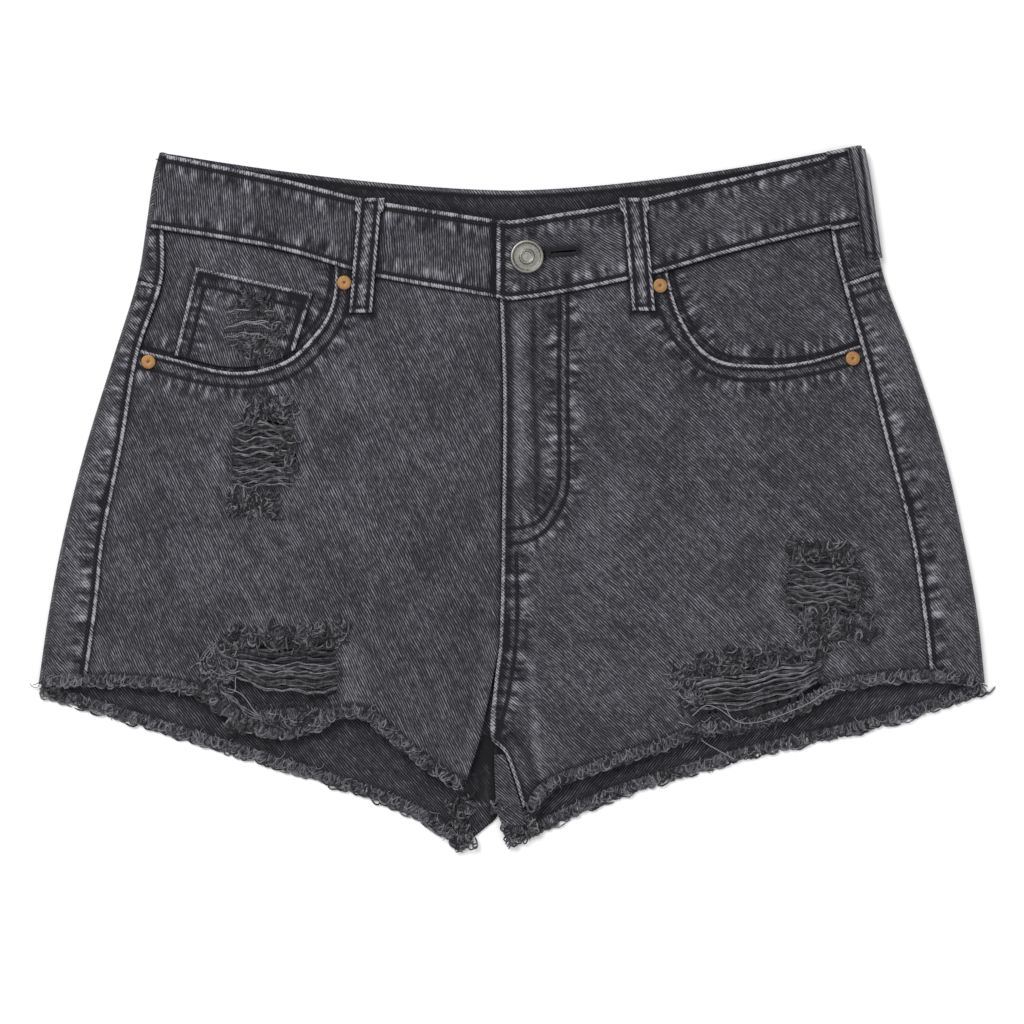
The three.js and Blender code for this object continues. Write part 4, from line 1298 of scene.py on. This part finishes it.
def loose(threads, points, tone=1.0, radius=0.26, lift=0.5):
    """One long thread laid through a few places."""
    line = fine_line(points, 1.6)
    z = upper_face(line[:, 0], line[:, 1]) + lift
    threads.add(np.column_stack([line, z]), radius, tone)


def above_back(gap):
    return lambda x, y: lower_face(x, y) + gap


UP, DOWN = math.pi / 2, -math.pi / 2
left, right = Threads(), Threads()
upper_left, lower_left = RIPS["left"]
upper_right, lower_right = RIPS["right"]
# Each rip's first layer of wefts is given a low palest tone: painted shade under the bundles laid
# over it
wefts(left, upper_left, -17, 17, 0.8, 1.0, 0.3)
wefts(left, upper_left, -17, 17, 2.1, 1.9, 0.85, bundle=2)
tuft(left, (-130, 52), (25, 12), -3, DOWN, 170, length=(4, 9))
tuft(left, (-140, -4), (28, 12), -3, UP, 190, length=(4, 9))
tuft(left, (-119, 30), (3, 24), -3, DOWN, 25)
wefts(left, lower_left, -9, 14, 1.2, 1.0, 0.25, 4.5, fan=0.42)
wefts(left, lower_left, -9, 14, 2.3, 1.5, 0.9, 5.0, bundle=2, fan=0.42)
tuft(left, (-122, -70), (60, 9), 2, DOWN, 270)
tuft(left, (-159, -88), (12, 26), 2, DOWN, 110)
tuft(left, (-126, -115), (54, 7), 2, DOWN, 170)
loose(left, [(-160, -99), (-146, -104), (-137, -115), (-128, -119)], 1.1)
loose(left, [(-168, -86), (-160, -99), (-150, -103), (-149, -95)], 1.0)
for nudge in (0, 1.6, 3.4):
    loose(left, [(-161 + nudge, -76), (-168 + nudge, -86), (-161 + nudge, -97 + nudge),
              (-150 + nudge, -95 + nudge)], 0.75, 0.36, 0.9)
    loose(left, [(-160, -99 - nudge), (-153 + nudge, -106), (-143, -112 - nudge), (-133, -118)],
          0.7, 0.36, 0.7)
tuft(left, (-27, -172), (9, 26), 8, DOWN, 120, length=(4, 8), above=above_back(1.2))
tuft(left, (-6, -164), (7, 7), 8, DOWN, 30, length=(3, 6), above=above_back(1.8))
tuft(right, (5, -175), (17, 13), 25, DOWN, 130, length=(4, 8), above=above_back(1.6))
wefts(right, upper_right, -14, 14, 0.8, 1.0, 0.3)
wefts(right, upper_right, -14, 14, 2.1, 1.7, 0.9, bundle=2)
tuft(right, (167, -24), (34, 7), -4, DOWN, 140)
tuft(right, (176, -69), (36, 13), -8, UP, 210)
tuft(right, (187, -52), (3, 26), -4, DOWN, 25)
wefts(right, lower_right, -7, 9.5, 1.1, 0.9, 0.25, 5.5, fan=-0.3)
wefts(right, lower_right, -7, 9.5, 2.0, 1.4, 0.9, 6.0, bundle=2, fan=-0.3)
tuft(right, (134, -81), (74, 8), 8, DOWN, 270)
tuft(right, (95, -97), (11, 20), 8, DOWN, 100)
tuft(right, (120, -121), (52, 4), 9, DOWN, 100, length=(4, 7), tone=(-0.2, 0.5))
loose(right, [(97.5, -115.7), (105, -110), (112, -112), (122.7, -119.1), (133, -119),
          (144.2, -115.7), (160, -109), (172.9, -101.3), (180, -102)], 1.15, lift=1.7)
loose(right, [(90, -119), (98, -122), (103, -129), (111, -134), (120, -139)], 1.05)
loose(right, [(115, -109), (119, -117), (126, -120)], 1.0)
left.piece("rip_wefts_left", WEFT)
right.piece("rip_wefts_right", WEFT)

# Worn patch on the coin pocket: curls, arched bare threads, short ends below
worn = Threads()
tuft(worn, (-139, 110), (18, 9), -10, DOWN, 70, length=(4, 8), tone=(0.0, 0.6))
for height in np.arange(84, 104, 1.15):
    u = np.linspace(-16, 10, 12)
    arch = rng.uniform(0.5, 3.5) * np.sin((u + 16) / 26 * math.pi) + 0.5 * np.sin(u * 0.7 + height)
    x = -138 + u + rng.normal(0, 1.6)
    y = height + arch + rng.normal(0, 0.4)
    z = upper_face(x, y) + rng.uniform(0.1, 0.7)
    worn.add(np.column_stack([x, y, z]), tapered(12, 0.36, 0.12, both=True), rng.uniform(0.15, 1.0))
tuft(worn, (-138, 86), (24, 12), -10, DOWN, 80, bend=(0.2, 2.5), length=(4, 9), tone=(0.0, 0.7))
tuft(worn, (-125, 92), (6, 18), -10, DOWN, 25, bend=(0.5, 3), length=(4, 8), tone=(0.1, 0.8))
worn.piece("coin_pocket_wear", WEFT)


def sew(threads, line, above, pitch=2.9, length=2.2, radius=0.24):
    """Dark lock stitches along a line, each a short bead with its ends in the cloth."""
    for (x, y), turn in zip(*even_spots(line, pitch)):
        reach = np.array([-0.5, -0.3, 0.3, 0.5]) * length * rng.uniform(0.92, 1.05)
        px, py = x + reach * math.cos(turn), y + reach * math.sin(turn)
        z = above(px, py) + (-0.3, 0.06, 0.06, -0.3)
        threads.add(np.column_stack([px, py, z]), radius, rng.uniform(0.0, 0.5))


def band_face(x, y):
    return front_height(x, y) + BAND_LIFT + BAND / 2 + np.where(x > -9, fly_rise(x, y), 0)


def fly_face(x, y):
    return upper_face(x, y) + fly_rise(x, y)


def side_of(line, across, left):
    return line[line[:, 0] < across] if left else line[line[:, 0] > across]


sewing = Threads()
for line in (band_stitch, band_top_stitch):
    sew(sewing, side_of(line, -10, True), band_face)
    sew(sewing, side_of(line, -5, False), band_face)
sew(sewing, path((-4.4, 147), (-4.4, 111)), band_face)
for line in (mouth_rim_left, mouth_stitch_left, mouth_rim_right, mouth_stitch_right):
    sew(sewing, line[line[:, 1] < front_seam(line[:, 0]) - 2], upper_face)
for line in (fly_outer, fly_inner, centre_stitch, centre_edge + (2.4, 0)):
    sew(sewing, line, fly_face)
for line in (coin_hem, *coin_seconds):
    sew(sewing, line, upper_face, pitch=2.6, length=1.9)
for side, highest in (("left", 140), ("right", 145)):
    line = OUTSEAMS[side][1]
    sew(sewing, line[(line[:, 1] > -92) & (line[:, 1] < highest)], upper_face)
for side in SIDE_NAMES:
    for line in loop_sides(*LOOP_TOPS[side], 2.5):
        sew(sewing, line, loop_face, pitch=2.5, length=1.8, radius=0.2)
hole_run = fine_line(BUTTONHOLE, 0.5)
hole_middle = np.array([25.4, 134])
whip = np.array([-0.2, 0.5, 1.5, 1.9])  # a stitch, outward from the buttonhole's edge
for spot, turn in zip(*even_spots(hole_run, 0.55)):
    outward = np.array([math.sin(turn), -math.cos(turn)])
    if np.dot(outward, spot - hole_middle) < 0:
        outward = -outward
    px, py = (spot[k] + outward[k] * whip for k in (0, 1))
    z = band_face(px, py) + (-0.3, 0.2, 0.2, -0.2)
    sewing.add(np.column_stack([px, py, z]), 0.3, rng.uniform(-0.4, 0.35))
sewing.piece("seam_stitches", STITCHING, slot="denim")


# Button and rivets, spun from their profiles
def spun(name, profile, middle, bottom, steps, material, nodes, rings):
    work = bmesh.new()
    points = [work.verts.new((r, 0, h)) for r, h in profile]
    lines = [work.edges.new(pair) for pair in zip(points[:-1], points[1:])]
    bmesh.ops.spin(work, geom=points + lines, cent=(0, 0, 0), axis=(0, 0, 1), steps=steps,
                   angle=2 * math.pi, use_merge=True, use_duplicate=False)
    bmesh.ops.remove_doubles(work, verts=work.verts, dist=0.002)
    bmesh.ops.recalc_face_normals(work, faces=work.faces)
    for vertex in work.verts:
        vertex.co = place([vertex.co.x + middle[0], vertex.co.y + middle[1],
                           vertex.co.z + bottom]).tolist()
    far = [math.hypot(vertex.co.x * 1000 + SHIFT_X - middle[0],
                      vertex.co.y * 1000 + SHIFT_Y - middle[1]) for vertex in work.verts]
    mesh = bpy.data.meshes.new(name)
    work.to_mesh(mesh)
    work.free()
    number_layer(mesh, "hollow", [
        sum(deep * math.exp(-(((r - at) / wide) ** 2)) for at, wide, deep in rings) for r in far])
    smooth_faces(mesh)
    finish(linked(name + "_metal", mesh), nodes, material)


button_z = float(front_height(*BUTTON)) + FLY_RISE + BAND_LIFT + BAND / 2 + 0.4
spun("button", [
    (0, 0), (7.4, 0), (8.6, 0.5), (9.2, 1.2), (9.2, 2.0), (9.0, 2.6), (8.5, 3.1), (7.9, 3.2),
    (7.5, 3.0), (7.2, 2.75), (6.6, 2.7), (4.5, 2.72), (4.1, 2.8), (3.8, 3.1), (3.5, 3.25),
    (3.1, 3.1), (2.9, 2.85), (2.4, 2.8), (1.0, 2.9), (0, 2.92)],
    BUTTON, button_z, 72, BUTTON_STEEL, ["button"],
    [(9.1, 0.35, 0.7), (7.4, 0.3, 0.9), (6, 1.1, 0.3), (4.1, 0.3, 0.9), (2.8, 0.25, 0.7)])
for name, middle in RIVETS.items():
    rivet_z = float(front_height(*middle)) + CLOTH / 2 + 0.35
    spun(name, [
        (0, 0), (3.6, 0), (3.9, 0.25), (3.9, 0.7), (3.6, 0.98), (2.9, 1.08), (1.9, 1.12),
        (1.3, 1.1), (0.85, 0.95), (0.6, 0.75), (0.3, 0.7), (0, 0.7)],
        middle, rivet_z, 32, RIVET_COPPER, [name],
        # Darker rings at the rim and two steps, and painted shade in the hole at the middle
        [(3.9, 0.25, 0.7), (3.0, 0.25, 0.25), (1.7, 0.2, 0.3), (0, 0.7, 1.2)])


ROOM_LIGHT = 0.62
LENS, SENSOR = 100, 36  # millimetres
CAMERA_HEIGHT = 1.542  # metres, so that the shorts fill the frame as in the photo
PHOTO_CENTRE = (0.27, -5.67, 0)
# Light panels: name, place, size, power
PANELS = [("key_panel", (-0.9, 1.1, 1.5), 1.2, 34), ("fill_panel", (1.3, -0.5, 1.4), 1.5, 8)]


def stage():
    """Pale floor and soft light from large panels."""
    work = bmesh.new()
    bmesh.ops.create_grid(work, x_segments=2, y_segments=2, size=3)
    mesh = bpy.data.meshes.new("table")
    work.to_mesh(mesh)
    work.free()
    floor = linked("table", mesh)
    s = Shading("pale_table", roughness=0.9, specular=0.1)
    s.base(colour(247, 247, 247))
    floor.data.materials.append(s.material)
    world = bpy.data.worlds.new("soft_room")
    bpy.context.scene.world = world
    world.use_nodes = True
    light = world.node_tree.nodes["Background"].inputs
    light[0].default_value = (1, 1, 1, 1)
    light[1].default_value = ROOM_LIGHT
    for name, spot, size, power in PANELS:
        lamp = bpy.data.lights.new(name, "AREA")
        lamp.size = size
        lamp.energy = power
        holder = linked(name, lamp)
        holder.location = spot
        holder.rotation_euler = (-Vector(spot)).to_track_quat("-Z", "Y").to_euler()
    bpy.context.scene.view_settings.view_transform = "Standard"


def camera():
    """Straight above, framed as the photo."""
    data = bpy.data.cameras.new("camera")
    data.lens = LENS
    data.sensor_width = SENSOR
    holder = linked("camera", data)
    centre = place(PHOTO_CENTRE)
    holder.location = (centre[0], centre[1], CAMERA_HEIGHT)
    bpy.context.scene.camera = holder


camera()
stage()
